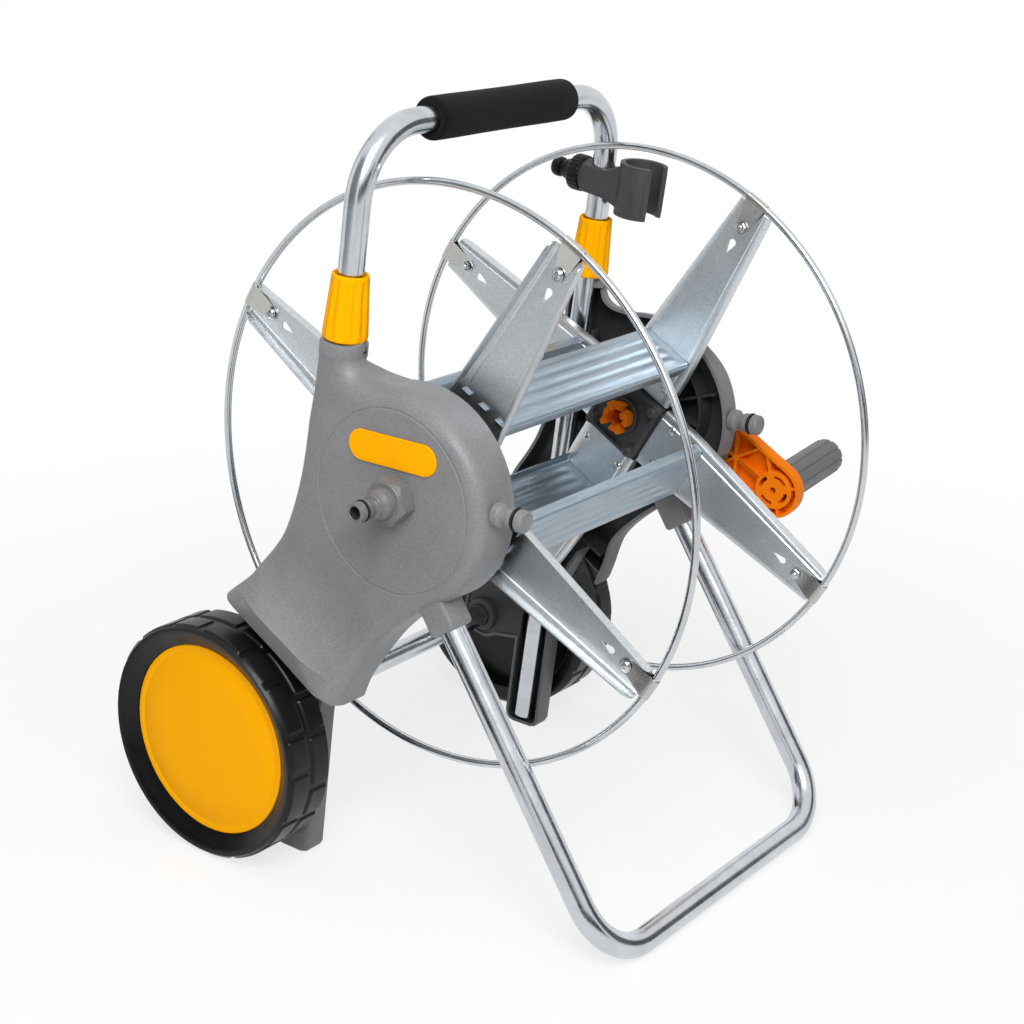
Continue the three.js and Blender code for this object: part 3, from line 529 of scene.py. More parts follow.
def neck_edge(z, side):
    """(Y, Z) of the neck's front (side -1) or back (side 1) at a height."""
    return (handle_y(z) + side * NECK_RADIUS, z)


def panel_edges(s):
    """The panel's outline in two lines, up the back and down the front; between them it is open."""
    rear = [guard_point(GUARD_LENGTH, 0), (145, 237), (138, 248), (117, 281), (102, 322)]
    rear += [(93.5, 364), (90.6, 396), neck_edge(420, 1), neck_edge(NECK_TOP, 1)]
    shoulder = [neck_edge(NECK_TOP, -1), neck_edge(428, -1), (50, 421), (45, 416.2), (37, 413.8)]
    disc = arc(s.disc, math.radians(80), math.radians(232), 84, *DISC_AT)
    front = [disc[-1], (-27, 252), (4, 228), (27, 203), (40.5, 175), guard_point(-7, -3.5)]
    front_line = smooth_line([*shoulder, disc[0]], 3) + disc[1:-1] + smooth_line(front, 3)
    return np.array(smooth_line(rear, 3)), np.array(front_line)


def gap_to(points, lines):
    """Distance of each point from the nearest of some lines."""
    best = np.full(len(points), 1e9)
    for line in lines:
        for start, way in zip(line[:-1], line[1:] - line[:-1]):
            t = np.clip((points - start) @ way / max(way @ way, 1e-9), 0, 1)
            best = np.minimum(best, np.linalg.norm(points - start - t[:, None] * way, axis=1))
    return best


def inside(points, line):
    """Which points lie inside a closed line."""
    y, z = points.T
    hit = np.zeros(len(points), bool)
    for (y0, z0), (y1, z1) in zip(line, np.roll(line, -1, axis=0)):
        if z0 != z1:
            hit ^= ((z0 > z) != (z1 > z)) & (y < (y1 - y0) * (z - z0) / (z1 - z0) + y0)
    return hit


def from_groove(points, s):
    """Distance of each point outside the ring groove, less than 0 inside it."""
    return np.hypot(points[:, 0] - DISC_AT[0], points[:, 1] - DISC_AT[1]) - s.groove


def panel_height(points, walls, ends, s):
    """X of the outer face: rounded rim, flared mudguard and a shallow ring groove."""
    y, z = points.T
    c, t = math.cos(GUARD_TILT), math.sin(GUARD_TILT)
    above_lip = (z - GUARD_FRONT[1]) * c - (y - GUARD_FRONT[0]) * t
    along_lip = (y - GUARD_FRONT[0]) * c + (z - GUARD_FRONT[1]) * t
    from_end = np.minimum(along_lip, GUARD_LENGTH - along_lip)
    fade = 0.1 + 0.9 * (1 - ease(from_end, 8, 40))
    flare = np.clip((FLARE_TOP - above_lip) / (FLARE_TOP - LIP_BAND), 0, 2) ** 2.5
    blend = np.clip(1 - np.abs(flare - 1) / fade, 0, 1)
    flare = np.minimum(flare, 1) - 0.25 * fade * blend**2
    face = s.outer + (HANDLE_X + NECK_RADIUS - s.outer) * ease(z, 395, 425) + (s.guard - s.outer) * flare
    ridge = 0.6 * ease(from_end, 4, 30) * np.exp(-(((above_lip - LIP_BAND) / 0.9) ** 2))
    face += ridge - 0.17 * np.clip(LIP_BAND - above_lip, 0, 20)
    turn = s.edge + (NECK_RADIUS - s.edge) * ease(z, 368, 404)
    from_corner = np.hypot(y - GUARD_FRONT[0], z - GUARD_FRONT[1])
    turn = turn + 6 * (1 - ease(from_corner, 10, 48))
    deep = np.clip(turn - gap_to(points, walls), 0, None)
    face -= turn - np.sqrt(np.clip(turn**2 - deep**2, 0, None))
    soft = 1.5
    worn = np.clip(soft - gap_to(points, ends), 0, soft)
    face -= soft - np.sqrt(soft**2 - worn**2)
    return face - 0.55 * (1 - ease(np.abs(from_groove(points, s)), 0.2, 0.9))


def panel_points(outline, walls, ends, s):
    """Points inside the outline: a grid, and closer rows where the face turns."""
    grid = [
        (y, z)
        for i, z in enumerate(np.arange(160, NECK_TOP, 3.6))
        for y in np.arange(-85 + 2.1 * (i % 2), 170, 4.2)
    ]
    grid = np.array(grid)
    grid = grid[inside(grid, outline)]
    clear = (gap_to(grid, walls) > 11) & (gap_to(grid, ends) > 2.5)
    rows = [grid[clear & (np.abs(from_groove(grid, s)) > 2.6)]]
    way = np.roll(outline, -1, axis=0) - np.roll(outline, 1, axis=0)
    way /= np.linalg.norm(way, axis=1)[:, None]
    inward = np.stack([-way[:, 1], way[:, 0]], axis=1)
    for depth in (0.3, 1.0, 2.2, 3.8, 5.8, 8.2, 11.0, 14.5, 18.0):
        row = outline + inward * depth
        row = row[inside(row, outline)]
        limit = depth - 0.05
        rows.append(row[(gap_to(row, walls) > limit) & (gap_to(row, ends) > 1.2)])
    for off in (-1.7, -0.9, -0.5, -0.2, 0.2, 0.5, 0.9, 1.7):
        row = np.array(ring(s.groove + off, 300, *DISC_AT))
        row = row[inside(row, outline)]
        rows.append(row[gap_to(row, walls) > 11])
    for w in (0.35, 0.9, 1.6, 14.4, 15.4, 16.0, 16.6, 17.6):
        row = np.array([guard_point(u, w) for u in np.linspace(-10, 135, 60)])
        row = row[inside(row, outline)]
        rows.append(row[gap_to(row, walls) > 1])
    row = np.vstack(rows)
    keys = np.unique(np.round(row / 0.45).astype(int), axis=0, return_index=True)[1]
    return row[np.sort(keys)]


def panel_skin(s):
    """The panel's outer wall, open at the back, under the mudguard and on top of the neck."""
    walls = panel_edges(s)
    outline = np.vstack(walls)
    ends = [np.array([walls[0][-1], walls[1][0]]), np.array([walls[1][-1], walls[0][0]])]
    flat = [Vector(p) for p in np.vstack([outline, panel_points(outline, walls, ends, s)])]
    count = len(outline)
    loop = [(i, (i + 1) % count) for i in range(count)]
    made = delaunay_2d_cdt(flat, loop, [], 1, 1e-4)
    flat = np.array([tuple(v) for v in made[0]])
    x = panel_height(flat, walls, ends, s)
    obj = built("panel", np.column_stack([x, flat]).tolist(), made[2])
    mesh = obj.data
    if sum(f.normal.x for f in mesh.polygons) < 0:
        mesh.flip_normals()

    def on_wall(edge):
        middle = sum((v.co for v in edge.verts), Vector()) / 2
        point = np.array([middle.yz])
        return edge.is_boundary and gap_to(point, walls)[0] < 0.05

    pick(obj, "EDGE", on_wall)
    bpy.ops.mesh.extrude_edges_move()
    bpy.ops.transform.resize(value=(0, 1, 1), center_override=(s.inner, 0, 0))
    deselect()
    for vertex in mesh.vertices:
        if abs(vertex.co.x - s.inner) < 0.01:
            vertex.co.x += (HANDLE_X - s.inner) * float(ease(vertex.co.z, 412, 430))
            if vertex.co.y < 80:
                vertex.co.x += 0.4 * (s.outer - s.inner) * (1 - float(ease(vertex.co.z, 166, 208)))
    return walled(obj, s.wall)


def leg_outline():
    """The leg with its boss and foot, and the wall beside the wheel, as (Y, Z)."""
    boss = arc(23, 0, -2.2, 14, WHEEL_AT.y, WHEEL_AT.z)
    foot = [(126.5, 84), (134.4, 10), (133.6, 5), (131, 1.6), (126, 0), (106, 0), (100.6, 1.6), (97.9, 6)]
    front = [(86, 121), (84.5, 134), (80, 147)]
    top = GUARD_ROOF - 0.5
    rear = [guard_point(GUARD_LENGTH - 14, top), guard_point(GUARD_LENGTH - 5, 2)]
    rear.append(guard_point(GUARD_LENGTH - 4, -24))
    return rear + boss + foot + front + [guard_point(18, 3), guard_point(17, top)]


def leg_shell(s):
    """Leg and the wall beside the wheel, open on the inner side and at the top."""
    obj = prism(leg_outline(), s.leg_inner, s.leg)
    up = Vector((0, -math.sin(GUARD_TILT), math.cos(GUARD_TILT)))
    roof = Vector((0, *guard_point(0, GUARD_ROOF - 0.5))).dot(up)

    def is_roof(item):
        return all(v.co.dot(up) > roof - 0.5 for v in item.verts)

    soften(obj, lambda edge: at_x(s.leg)(edge) and not is_roof(edge), 4, 4)
    pick(obj, "FACE", lambda face: at_x(s.leg_inner)(face) or is_roof(face))
    bpy.ops.mesh.delete(type="FACE")
    deselect()
    # Painted shade over the whole leg; its inner faces get the full painted shade when walled.
    mark(obj, value=0.4)
    return walled(obj, s.wall)


def leg_web(s):
    """Inner web of the leg, from the channel of the handle's tube to the wheel's boss."""
    web = prism(leg_outline(), s.leg_inner + 1, s.leg_inner + 4)
    channel = shift(block(-30, 30, -90, 12.6, -400, 400), on_handle(s.leg_inner, 150))
    return carve(web, channel)


def arch_roof(s):
    """Roof over the wheel, between the mudguard and the wall beside the wheel."""
    roof = block(s.leg - s.wall, 183, 4.2, GUARD_LENGTH - 15, GUARD_ROOF, GUARD_ROOF + s.wall)
    return shift(roof, guard_frame())


def neck_ring():
    """Inner half of the neck and the band on its top."""
    low, high = -26.0, 17.0
    profile = [(10.6, low), (17.4, low), (17.7, high - 11.6), (18.3, high - 10.8), (18.3, high - 1.6)]
    profile += [(17.7, high - 0.5), (16.6, high), (13.2, high), (12.6, high - 1.5), (10.6, high - 1.5)]
    z = NECK_TOP - high
    return shift(shift(turned(profile), X_TO_Z), on_handle(HANDLE_X, z))


def panel_ribs(s):
    """Bosses, ribs and the handle's clamps inside the panel."""
    face = s.outer - s.wall + 0.4
    leg_in = s.leg - s.wall + 0.4
    start = max(s.inner + 3, 156)
    boss = [(TUBE_RADIUS + 0.4, s.leg_inner - 6), (13.2, s.leg_inner - 6), (14.3, s.leg_inner - 5.2)]
    boss += [(15.2, s.leg_inner - 3), (16, s.leg_inner + 1.6), (16, leg_in), (TUBE_RADIUS + 0.4, leg_in)]
    parts = [
        shift(sleeve(13.3, 17, s.inner + 2, face), at_axle()),
        shift(sleeve(50, 52, start, face), at_axle()),
        shift(turned(boss), at_wheel()),
    ]
    for i in range(12):
        rib = block(start + 2, face, 16.5, 68 if i % 2 else 51, -1, 1)
        parts.append(shift(rib, at_axle(i * math.tau / 12 + 0.2)))
    for z in (30, 62, 100, 140, 180, 300, 385):
        y = handle_y(z)
        in_leg, near_neck = z < 200, z > 350
        outer = leg_in if in_leg else face - 9 if near_neck else face
        if not in_leg:
            parts.append(block(start, outer, y - 14, y - 10.4, z - 4, z + 4, 0.8))
            parts.append(block(start, outer, y + 10.4, y + 14, z - 4, z + 4, 0.8))
        parts.append(block(HANDLE_X + 10.2, outer, y - 14, y + 14, z - 1.2, z + 1.2))
    return parts


def side_panel(s, ring):
    """One whole panel, drawn on +X; its inner parts get painted shade, and without the neck ring the
    skin's downward faces too.
    """
    # Painted shade on the roof, the web and the ribs inside the panel.
    hidden = mark(gather(arch_roof(s), leg_web(s), *panel_ribs(s)))
    skin = panel_skin(s)
    # Painted shade on the skin's faces that look down, on the crank side's panel.
    if not ring:
        mark_where(skin, lambda at, way: way.z < -0.3, 0.8)
    parts = [skin, leg_shell(s), stand_socket(), hidden]
    return gather(*parts, neck_ring()) if ring else gather(*parts)


def stand_socket():
    """Square socket that the stand's tube goes into."""
    start, end, half = 272.5, 330.0, 12.5
    outer = block(-half, half, -half, half, start, end, 3.2, 4)
    bore = shift(sleeve(0.01, TUBE_RADIUS + 0.6, start - 5, start + 40), X_TO_Z)
    made = carve(outer, bore)
    place = Matrix.Translation((STAND_X, *STAND_BAR)) @ Matrix.Rotation(-STAND_RAKE, 4, "X")
    return shift(made, place)


# ---------- tubes ----------
def u_line(half_width, bar, up, length, bend, steps=14):
    """A U of tube: two legs and a cross bar. 'up' points from the bar to the legs' ends."""
    points = []
    for side in (-1, 1):
        leg = [bar + up * length + Vector((side * half_width, 0, 0))]
        for i in range(steps + 1):
            a = math.pi / 2 * i / steps
            x = half_width - bend + bend * math.cos(a)
            leg.append(bar + up * (bend - bend * math.sin(a)) + Vector((side * x, 0, 0)))
        points += leg if side < 0 else leg[::-1]
    return points


def tube(points):
    """A thin-walled tube, open at its ends."""
    made = wire(points, TUBE_RADIUS, 9)
    ends = sorted(made.data.polygons, key=lambda f: -len(f.vertices))[:2]
    corners = [len(f.vertices) for f in ends]
    pick(made, "FACE", lambda face: len(face.verts) in corners and len(face.verts) > 4)
    bpy.ops.mesh.delete(type="FACE")
    deselect()
    return modify(made, "SOLIDIFY", thickness=1.2, offset=-1)


def handle_line():
    """Middle line of the handle's tube."""
    bar = Vector((0, handle_y(HANDLE_TOP_Z), HANDLE_TOP_Z))
    length = (HANDLE_TOP_Z - HANDLE_FOOT_Z) / HANDLE_UP.z
    return u_line(HANDLE_X, bar, -HANDLE_UP, length, 55)


def stand_line():
    """Middle line of the stand's tube."""
    up = Vector((0, math.sin(STAND_RAKE), math.cos(STAND_RAKE)))
    return u_line(STAND_X, Vector((0, *STAND_BAR)), up, 322, 47)


def foam_sleeve():
    """Foam sleeve on the cross bar: soft ends, a very slight waist."""
    half = 85.0
    outer = [(13.6, -half), (15.2, -half + 0.5), (16.1, -half + 1.7), (16.5, -half + 4)]
    waist = [(16.5 - 0.25 * math.cos(x / 50 * math.pi / 2), x) for x in np.linspace(-60, 60, 9)]
    profile = [(10.2, -half + 0.8), (12.4, -half)] + outer + waist
    profile += [(r, -x) for r, x in outer[::-1]] + [(12.4, half), (10.2, half - 0.8)]
    there = Matrix.Translation((0, handle_y(HANDLE_TOP_Z), HANDLE_TOP_Z))
    return shift(turned(profile, 64), there)


COLLAR_FLUTE = 1.3


def twist_collar():
    """Fluted clamp collar, wider at its foot, with a recessed rim on top."""
    low, high = (point.z for point in span("collar_right"))
    middle = (low + high) / 2
    half = (high - low) / 2 - 0.6
    around, flutes = 144, 12
    rows = [(-half, 16.0, 0), (-half + 0.9, 17.0, 0.1), (-half + 2.4, 17.3, 0.5), (-half + 5, 17.3, 1)]
    rows += [(-half + 5 + i * (2 * half - 12) / 6, 17.3 - 2.7 * i / 6, 1) for i in range(1, 7)]
    rows += [(half - 4, 14.4, 0.4), (half - 1.6, 14.2, 0), (half - 0.4, 13.8, 0), (half, 13.2, 0)]
    rows += [(half, 12.6, 0), (half - 0.8, 12.1, 0), (half - 5, 11.8, 0), (half - 5.4, 10.4, 0)]
    rows += [(-half + 0.5, 10.4, 0)]

    def groove(j, depth):
        wave = abs(math.sin(math.tau * j / around * flutes / 2)) ** 1.6
        return depth * COLLAR_FLUTE * (1 - wave)

    return shift(fluted("collar", rows, around, groove, upright=True), on_handle(HANDLE_X, middle))


# ---------- wheels ----------
TREAD_DEPTH = 1.7
BLOCK_ROUND = 2.4  # Rounding of a tread block's corners.


def tyre(s):
    """Moulded wheel with its hub, web and tread."""
    base = s.radius - TREAD_DEPTH
    hub = TUBE_RADIUS + 0.4
    web_in = s.inner + 15.3
    seat = s.disc + 0.4
    profile = [(hub, s.inner + 0.8), (18, s.inner + 0.8), (19, s.inner + 1.8), (19, web_in)]
    profile += [(s.disc + 3, web_in), (s.disc + 3, s.inner + 2), (s.disc + 4.5, s.inner + 0.6)]
    profile += [(base - 5, s.inner), (base - 2, s.inner + 0.5), (base - 0.5, s.inner + 1.8)]
    profile += [(base, x) for x in np.arange(s.inner + 2.6, s.outer - 2.4, 0.85)]
    profile += [(base - 0.5, s.outer - 1.2), (base - 1.6, s.outer)]
    profile += [(base - 3, s.outer - 0.1), (base - 6, s.outer - 1.0), (base - 9, s.outer - 2.8)]
    profile += [(base - 12, s.outer - 5.3), (seat + 0.8, s.outer - 7.9), (seat, s.outer - 8.4)]
    profile += [(seat, s.outer - 12.3), (s.disc - 4, s.outer - 12.3), (s.disc - 4, s.outer - 16)]
    profile += [(s.disc + 3, web_in + 4), (19, web_in + 4), (19, s.outer - 20.4), (hub, s.outer - 20.4)]
    obj = turned(profile, 704)
    place = np.array([vertex.co for vertex in obj.data.vertices])
    reach = np.hypot(place[:, 1], place[:, 2])
    rise = tread_rise(s, np.arctan2(place[:, 2], place[:, 1]), place[:, 0])
    grow = np.where(reach > base - 0.2, 1 + rise / reach, 1)
    place[:, 1:] *= grow[:, None]
    obj.data.vertices.foreach_set("co", place.ravel())
    return obj


def tread_rise(s, turn, x):
    """Height of the tread: two rows of rounded blocks, long and short by turns."""
    middle = (s.inner + s.outer) / 2
    pair = math.tau * s.radius / (s.blocks / 2)
    rise = np.zeros(len(x))
    for x0, x1, start in ((middle + 1.6, s.outer - 2.4, 0.0), (s.inner + 2.6, middle - 1.6, 0.36)):
        along = (turn * s.radius + start * pair) % pair
        for a0, a1 in ((0.03 * pair, 0.57 * pair), (0.62 * pair, 0.97 * pair)):
            across = np.abs(x - (x0 + x1) / 2) - (x1 - x0) / 2 + BLOCK_ROUND
            ahead = np.abs(along - (a0 + a1) / 2) - (a1 - a0) / 2 + BLOCK_ROUND
            outside = np.hypot(np.maximum(across, 0), np.maximum(ahead, 0)) - BLOCK_ROUND
            edge = outside + np.minimum(np.maximum(across, ahead), 0)
            rise = np.maximum(rise, TREAD_DEPTH * ease(-edge, -0.1, 1.5))
    return rise


def wheel_disc(s):
    """Coloured disc, very slightly domed, with a faint step near its rim."""
    x = s.outer - 11.8
    r = s.disc
    profile = [(0.01, x), (r, x), (r, x + 2.3), (r - 0.5, x + 2.8), (r - 1.4, x + 2.95)]
    profile += [(74.6, x + 3.0), (74.1, x + 2.75), (73.3, x + 2.75), (72.6, x + 3.05)]
    profile += [(50, x + 3.25), (25, x + 3.37), (0.01, x + 3.4)]
    return turned(profile, 128)


# ---------- drum ----------
ARM_ANGLES = [math.radians(a) for a in (30, 120, 210, 300)]
ARM_ROOT = 30.0
ARM_TIP = HOOP_RADIUS - 5.5
ARM_TAPER = 62.0  # Where an arm starts to narrow, from the axle.
ARM_WIDE, ARM_NARROW = 28.3, 15.0  # Half widths at the root and at the tip.
BOLT_AT = HOOP_RADIUS - 24


def arm_half(reach):
    """Half width of an arm at a distance from the axle."""
    return ARM_WIDE - max(0.0, reach - ARM_TAPER) * (ARM_WIDE - ARM_NARROW) / (ARM_TIP - ARM_TAPER)


def pressed(rows, thick, left_out=lambda i, j: False):
    """Sheet metal: a surface over rows of points, then its thickness."""
    faces = grid_faces(len(rows), len(rows[0]), left_out=left_out)
    made = tidy(built("sheet", [p for row in rows for p in row], faces))
    return modify(made, "SOLIDIFY", thickness=thick, offset=0, use_even_offset=True)


def arm_row(s, reach):
    """Section of an arm's channel: flat web, two bent bands and two flanges."""
    half = arm_half(reach) - s.sheet / 2
    band = half * 0.26
    near_tip = max(0.0, 1 - (ARM_TIP - reach) / 9)
    near_root = max(0.0, 1 - (reach - ARM_ROOT) / 6)
    high = s.flange - 4 - (s.flange - 5.6) * (1 - math.sqrt(1 - max(near_tip, near_root) ** 2))
    side = [(half, high + 3.4), (half, high * 0.5 + 2.8), (half, 2.2), (half - 0.3, 1.4)]
    side += [(half - 1.1, 0.9), (half - band + 0.8, 0.7), (half - band, 0), (half - band - 1, 0)]
    across = [(-t, x) for t, x in side] + [(t, 0) for t in np.linspace(-1, 1, 5) * (half - band - 4)]
    return [(s.plane + x, reach, t) for t, x in across + side[::-1]]


def drum_arm(s):
    """Channel of galvanised sheet that carries the hoop."""
    ends = [0, 0.4, 1.2, 2.5, 4.2, 6.2, 9]
    reaches = [ARM_ROOT + e for e in ends] + list(np.linspace(46, ARM_TIP - 14, 12))
    reaches += [ARM_TIP - e for e in ends[::-1]]
    made = pressed([arm_row(s, reach) for reach in reaches], s.sheet)
    through = (115, 135)
    drop = [*arc(3.1, -math.pi / 2, math.pi / 2, 12, BOLT_AT - 16, 0), (BOLT_AT - 26.5, 0)]
    holes = [prism(drop, *through), prism(ring(2.4, 16, BOLT_AT, 0), *through)]
    holes += [block(*through, s.slats - 1.5, s.slats + 0.3, t - 4.3, t + 4.3) for t in (-18, 0, 18)]
    return carve(made, *holes)


def hoop_clip(s):
    """Sheet clip folded round the hoop."""
    flat, bend = 1.0, s.wire + 0.25
    side = [(BOLT_AT - 6.2, flat), (BOLT_AT - 5.4, flat), (BOLT_AT - 3.6, flat), (BOLT_AT, flat)]
    side += [(BOLT_AT + 8, flat), (BOLT_AT + 15, flat + 1.1), (HOOP_RADIUS - 3.4, bend - 0.5)]
    side += [(HOOP_RADIUS + d, x) for x, d in arc(bend, 0.2, math.pi / 2, 8)]
    path = side + [(d, -x) for d, x in side[-2::-1]]
    rows = []
    for reach, x in path:
        half = 5.0 + 4.4 * min(1, max(0, (reach - BOLT_AT + 2) / (HOOP_RADIUS - BOLT_AT - 2)))
        if reach < BOLT_AT:
            half = math.sqrt(max(0.4, 5.0**2 - ((BOLT_AT - reach) * 0.78) ** 2))
        rows.append([(s.plane + x, reach, t) for t in np.linspace(-half, half, 5)])
    return pressed(rows, 0.5)


def cross_recess(x, size, depth):
    """Cutters for the two slots of a cross."""
    wide = size * 0.26
    slots = [(size, wide), (wide, size)]
    return [block(x - depth, x + 2, -y, y, -z, z) for y, z in slots]


def pan_head(x0, radius, high):
    """Head of a screw, seated at x0, with a cross recess."""
    top = x0 + high
    curve = [(radius * math.cos(a), x0 + high * math.sin(a)) for a in np.linspace(0.25, 1.35, 6)]
    head = turned([(0.01, x0), (radius * 0.97, x0), *curve, (radius * 0.2, top), (0.01, top)], 28)
    return carve(head, *cross_recess(top, radius * 0.52, high * 0.55))


def clip_bolt(s):
    """Screw with a washer outside and a nut inside, through the clip and the arm."""
    out, back = s.plane + 2.0, s.plane - 2.0
    washer = turned([(1.6, out), (4.9, out), (4.9, out + 0.7), (4.6, out + 0.9), (1.6, out + 0.9)], 32)
    nut = prism(ring(4.3, 6), back - 2.7, back)
    nut = soften(nut, at_x(back - 2.7), 0.5, 2)
    shank = [(0.01, back - 4.2), (1.6, back - 4.2), (2.1, back - 3.7)]
    end = turned([*shank, (2.1, out + 0.5), (0.01, out + 0.5)], 20)
    screw = gather(washer, nut, end, pan_head(out + 0.8, 4.2, 2.2))
    return shift(screw, Matrix.Translation((0, BOLT_AT, 0)))


def slat_row(s, x, columns):
    """Section of a slat at x; the pressed ribs fade out near its ends."""
    fade = 1 - float(ease(abs(x), s.plane - 17, s.plane - 8))
    row = []
    for t, drop in columns:
        near = min(abs(t - c) for c in (-15, -5, 5, 15))
        rib = 0.7 * (1 - float(ease(near, 0.7, 4.9))) * fade
        row.append((x, s.slats - s.sheet / 2 + rib - drop, t))
    return row


def drum_slat(s):
    """Strip across the drum, with four pressed ribs, folded sides and three tabs at each end."""
    edge = [(24.4, 8.5), (24.4, 5), (24.4, 2.2), (24.1, 1.1), (23.5, 0.4), (22.6, 0.05)]
    middle = [22, 19.6, 18, 16.6, 15.8, 15, 14.2, 14, 13.4, 12.4, 11.2, 10, 8.8, 7.6, 6.6, 5.8, 5, 4.2, 4]
    middle += [3.4, 2.4, 1.2]
    half = edge + [(t, 0) for t in middle]
    columns = [(-t, drop) for t, drop in half] + [(0, 0)] + half[::-1]
    end = s.plane - s.sheet / 2 - 0.3
    near = [end + 4.3, end + 3.9, end + 0.6, end, end - 6] + [end - 7 - i * 1.2 for i in range(9)]
    xs = sorted(near + [-x for x in near] + list(np.linspace(-95, 95, 9)))
    tabs = [(-22, -14), (-4, 4), (14, 22)]

    def beside_tab(i, j):
        x = (xs[i] + xs[i + 1]) / 2
        t = (columns[j][0] + columns[j + 1][0]) / 2
        return abs(x) > end and not any(a < t < b for a, b in tabs)

    return pressed([slat_row(s, x, columns) for x in xs], s.sheet, beside_tab)


def rounded_square(half, radius, count=6):
    """Outline of a square with round corners, as (Y, Z)."""
    points = []
    for i in range(4):
        a = i * math.pi / 2
        reach = (half - radius) * math.sqrt(2)
        y, z = reach * math.cos(a + math.pi / 4), reach * math.sin(a + math.pi / 4)
        points += arc(radius, a, a + math.pi / 2, count, y, z)
    return points


def hub_plate(s):
    """Moulded square plate with a bearing boss and four tongues that lie outside the arms."""
    inner, outer = s.plane - s.sheet / 2, s.plane + s.sheet / 2
    plate = prism(rounded_square(28, 4), inner - 6, outer + 5)
    soften(plate, at_x(inner - 6), 1.2, 3)
    left_in = [prism(ring(6.4, 24, y, z), inner - 9, inner - 1) for y in (-22, 22) for z in (-22, 22)]
    left_in.append(prism(ring(16, 40), inner - 9, inner - 1))
    pocket = carve(prism(rounded_square(24.5, 3), inner - 8, inner - 3.4), *left_in)
    made = carve(plate, pocket)
    boss = [(9.8, inner - 7.4), (14.6, inner - 7.4), (15.4, inner - 6.6), (15.4, inner - 3)]
    boss += [(17, inner - 3), (17, 136.6), (16.4, 137.2), (9.8, 137.2)]
    stud = [(0.01, inner - 10.2), (3.2, inner - 10), (4.3, inner - 9.2), (5, inner - 7.8)]
    stud += [(5.2, inner - 3), (0.01, inner - 3)]
    parts = [turned(boss, 56)]
    for i in range(4):
        turn = Matrix.Rotation(i * math.pi / 2, 4, "X")
        tongue = block(outer + 0.3, outer + 5, 20, 56, -23.5, 23.5, 1.5, 3)
        mount = shift(turned(stud, 28), Matrix.Translation((0, 22, 22)))
        parts += [shift(tongue, turn), shift(mount, turn)]
    bore = turned([(0.01, 90), (9.8, 90), (9.8, 200), (0.01, 200)], 48)
    return gather(carve(made, bore), *parts)


def hub_screws(s):
    """Screws that hold the arms to the hub's tongues."""
    back = s.plane - s.sheet / 2
    head = shift(pan_head(0, 3.8, 2.0), Matrix.Translation((back - 0.1, 0, 0)) @ MIRROR)
    parts = []
    for i in range(4):
        for t in (19, -19):
            turn = Matrix.Rotation(i * math.pi / 2, 4, "X") @ Matrix.Translation((0, 44, t))
            parts.append(copy_of(head, turn @ Matrix.Rotation(0.4 * i + t, 4, "X")))
    bpy.data.objects.remove(head)
    return gather(*parts)


def outlet_elbow():
    """Elbow that carries the water from the shaft to the hose inside the drum."""
    x = 117.1
    profile = [(9.8, x), (15, x), (15, x - 2), (14.2, x - 3), (11, x - 3), (11, x - 20), (9, x - 22)]
    body = turned([*profile, (0.01, x - 22), (0.01, x - 9), (9.8, x - 9)], 48)
    barb = [(0.01, 0), (9, 0), (9, 30), (8.4, 31), (7, 31.5), (7.8, 36), (6.8, 36.4), (7.8, 40.6)]
    barb += [(6.6, 41), (7.4, 44), (6.2, 46), (4.5, 46), (4.5, 20), (0.01, 20)]
    tail = shift(turned(barb, 40), Matrix.Translation((x - 13, 0, 0)) @ X_TO_Y)
    return shift(gather(body, tail), at_axle(math.pi / 6))


# ---------- fittings ----------
def inlet_nut():
    """Hexagonal nut that holds the inlet to the panel."""
    x0, x1 = 177.8, 190.5
    hexagon = prism(ring(19, 6), x0, x1)
    profile = [(0.01, x0 - 1), (21, x0 - 1), (21, x1 - 3), (18.8, x1 - 2.2), (16.6, x1 - 0.3), (16.2, x1)]
    round_off = turned([*profile, (0.01, x1)], 96)
    carve(hexagon, round_off, how="INTERSECT")
    soften(hexagon, along_x, 0.9, 3)
    collar = [(9.8, x0 + 2), (15.8, x0 + 2), (15.8, x1 + 0.2), (14.8, x1 + 1.2), (9.8, x1 + 1.2)]
    return shift(gather(hexagon, turned(collar, 64)), at_axle(0.25))


def inlet_nozzle():
    """Stepped nozzle that the supply hose pushes on to."""
    profile = [(5, 111.4), (8.9, 111.4), (9.5, 112), (9.5, 191), (11.2, 191), (11.5, 191.3)]
    profile += [(11.5, 197.4), (11.1, 198.4), (9.3, 200.9), (8.8, 201.8), (8.8, 204.5), (8.3, 205)]
    profile += [(6.9, 205.2), (6.4, 205.7), (6.4, 210.4), (6.7, 211), (7.75, 212.4), (7.75, 213.9)]
    profile += [(7.4, 214.2), (6, 214.2), (6, 217.2), (7.4, 217.2), (7.75, 217.5), (7.75, 222.3)]
    profile += [(7.4, 223.1), (6.8, 223.5), (5.4, 223.5), (5, 223)]
    nozzle = turned(profile, 64)
    # Painted shade inside the nozzle's bore.
    mark_where(nozzle, lambda at, way: math.hypot(at.y, at.z) < 5.1)
    return shift(nozzle, at_axle())


def o_ring(radius, thick, x):
    """Rubber ring about the X axis."""
    angles = np.linspace(0, math.tau, 15)[:-1]
    return turned([(radius + thick * math.cos(a), x + thick * math.sin(a)) for a in angles], 56)


def shaft_bush():
    """Flanged bush between the panel and the drum's shaft."""
    profile = [(9.8, 138.1), (16, 138.1), (16, 139.2), (13, 139.2), (13, 176.6), (12.6, 177), (9.8, 177)]
    return shift(turned(profile, 56), at_axle())


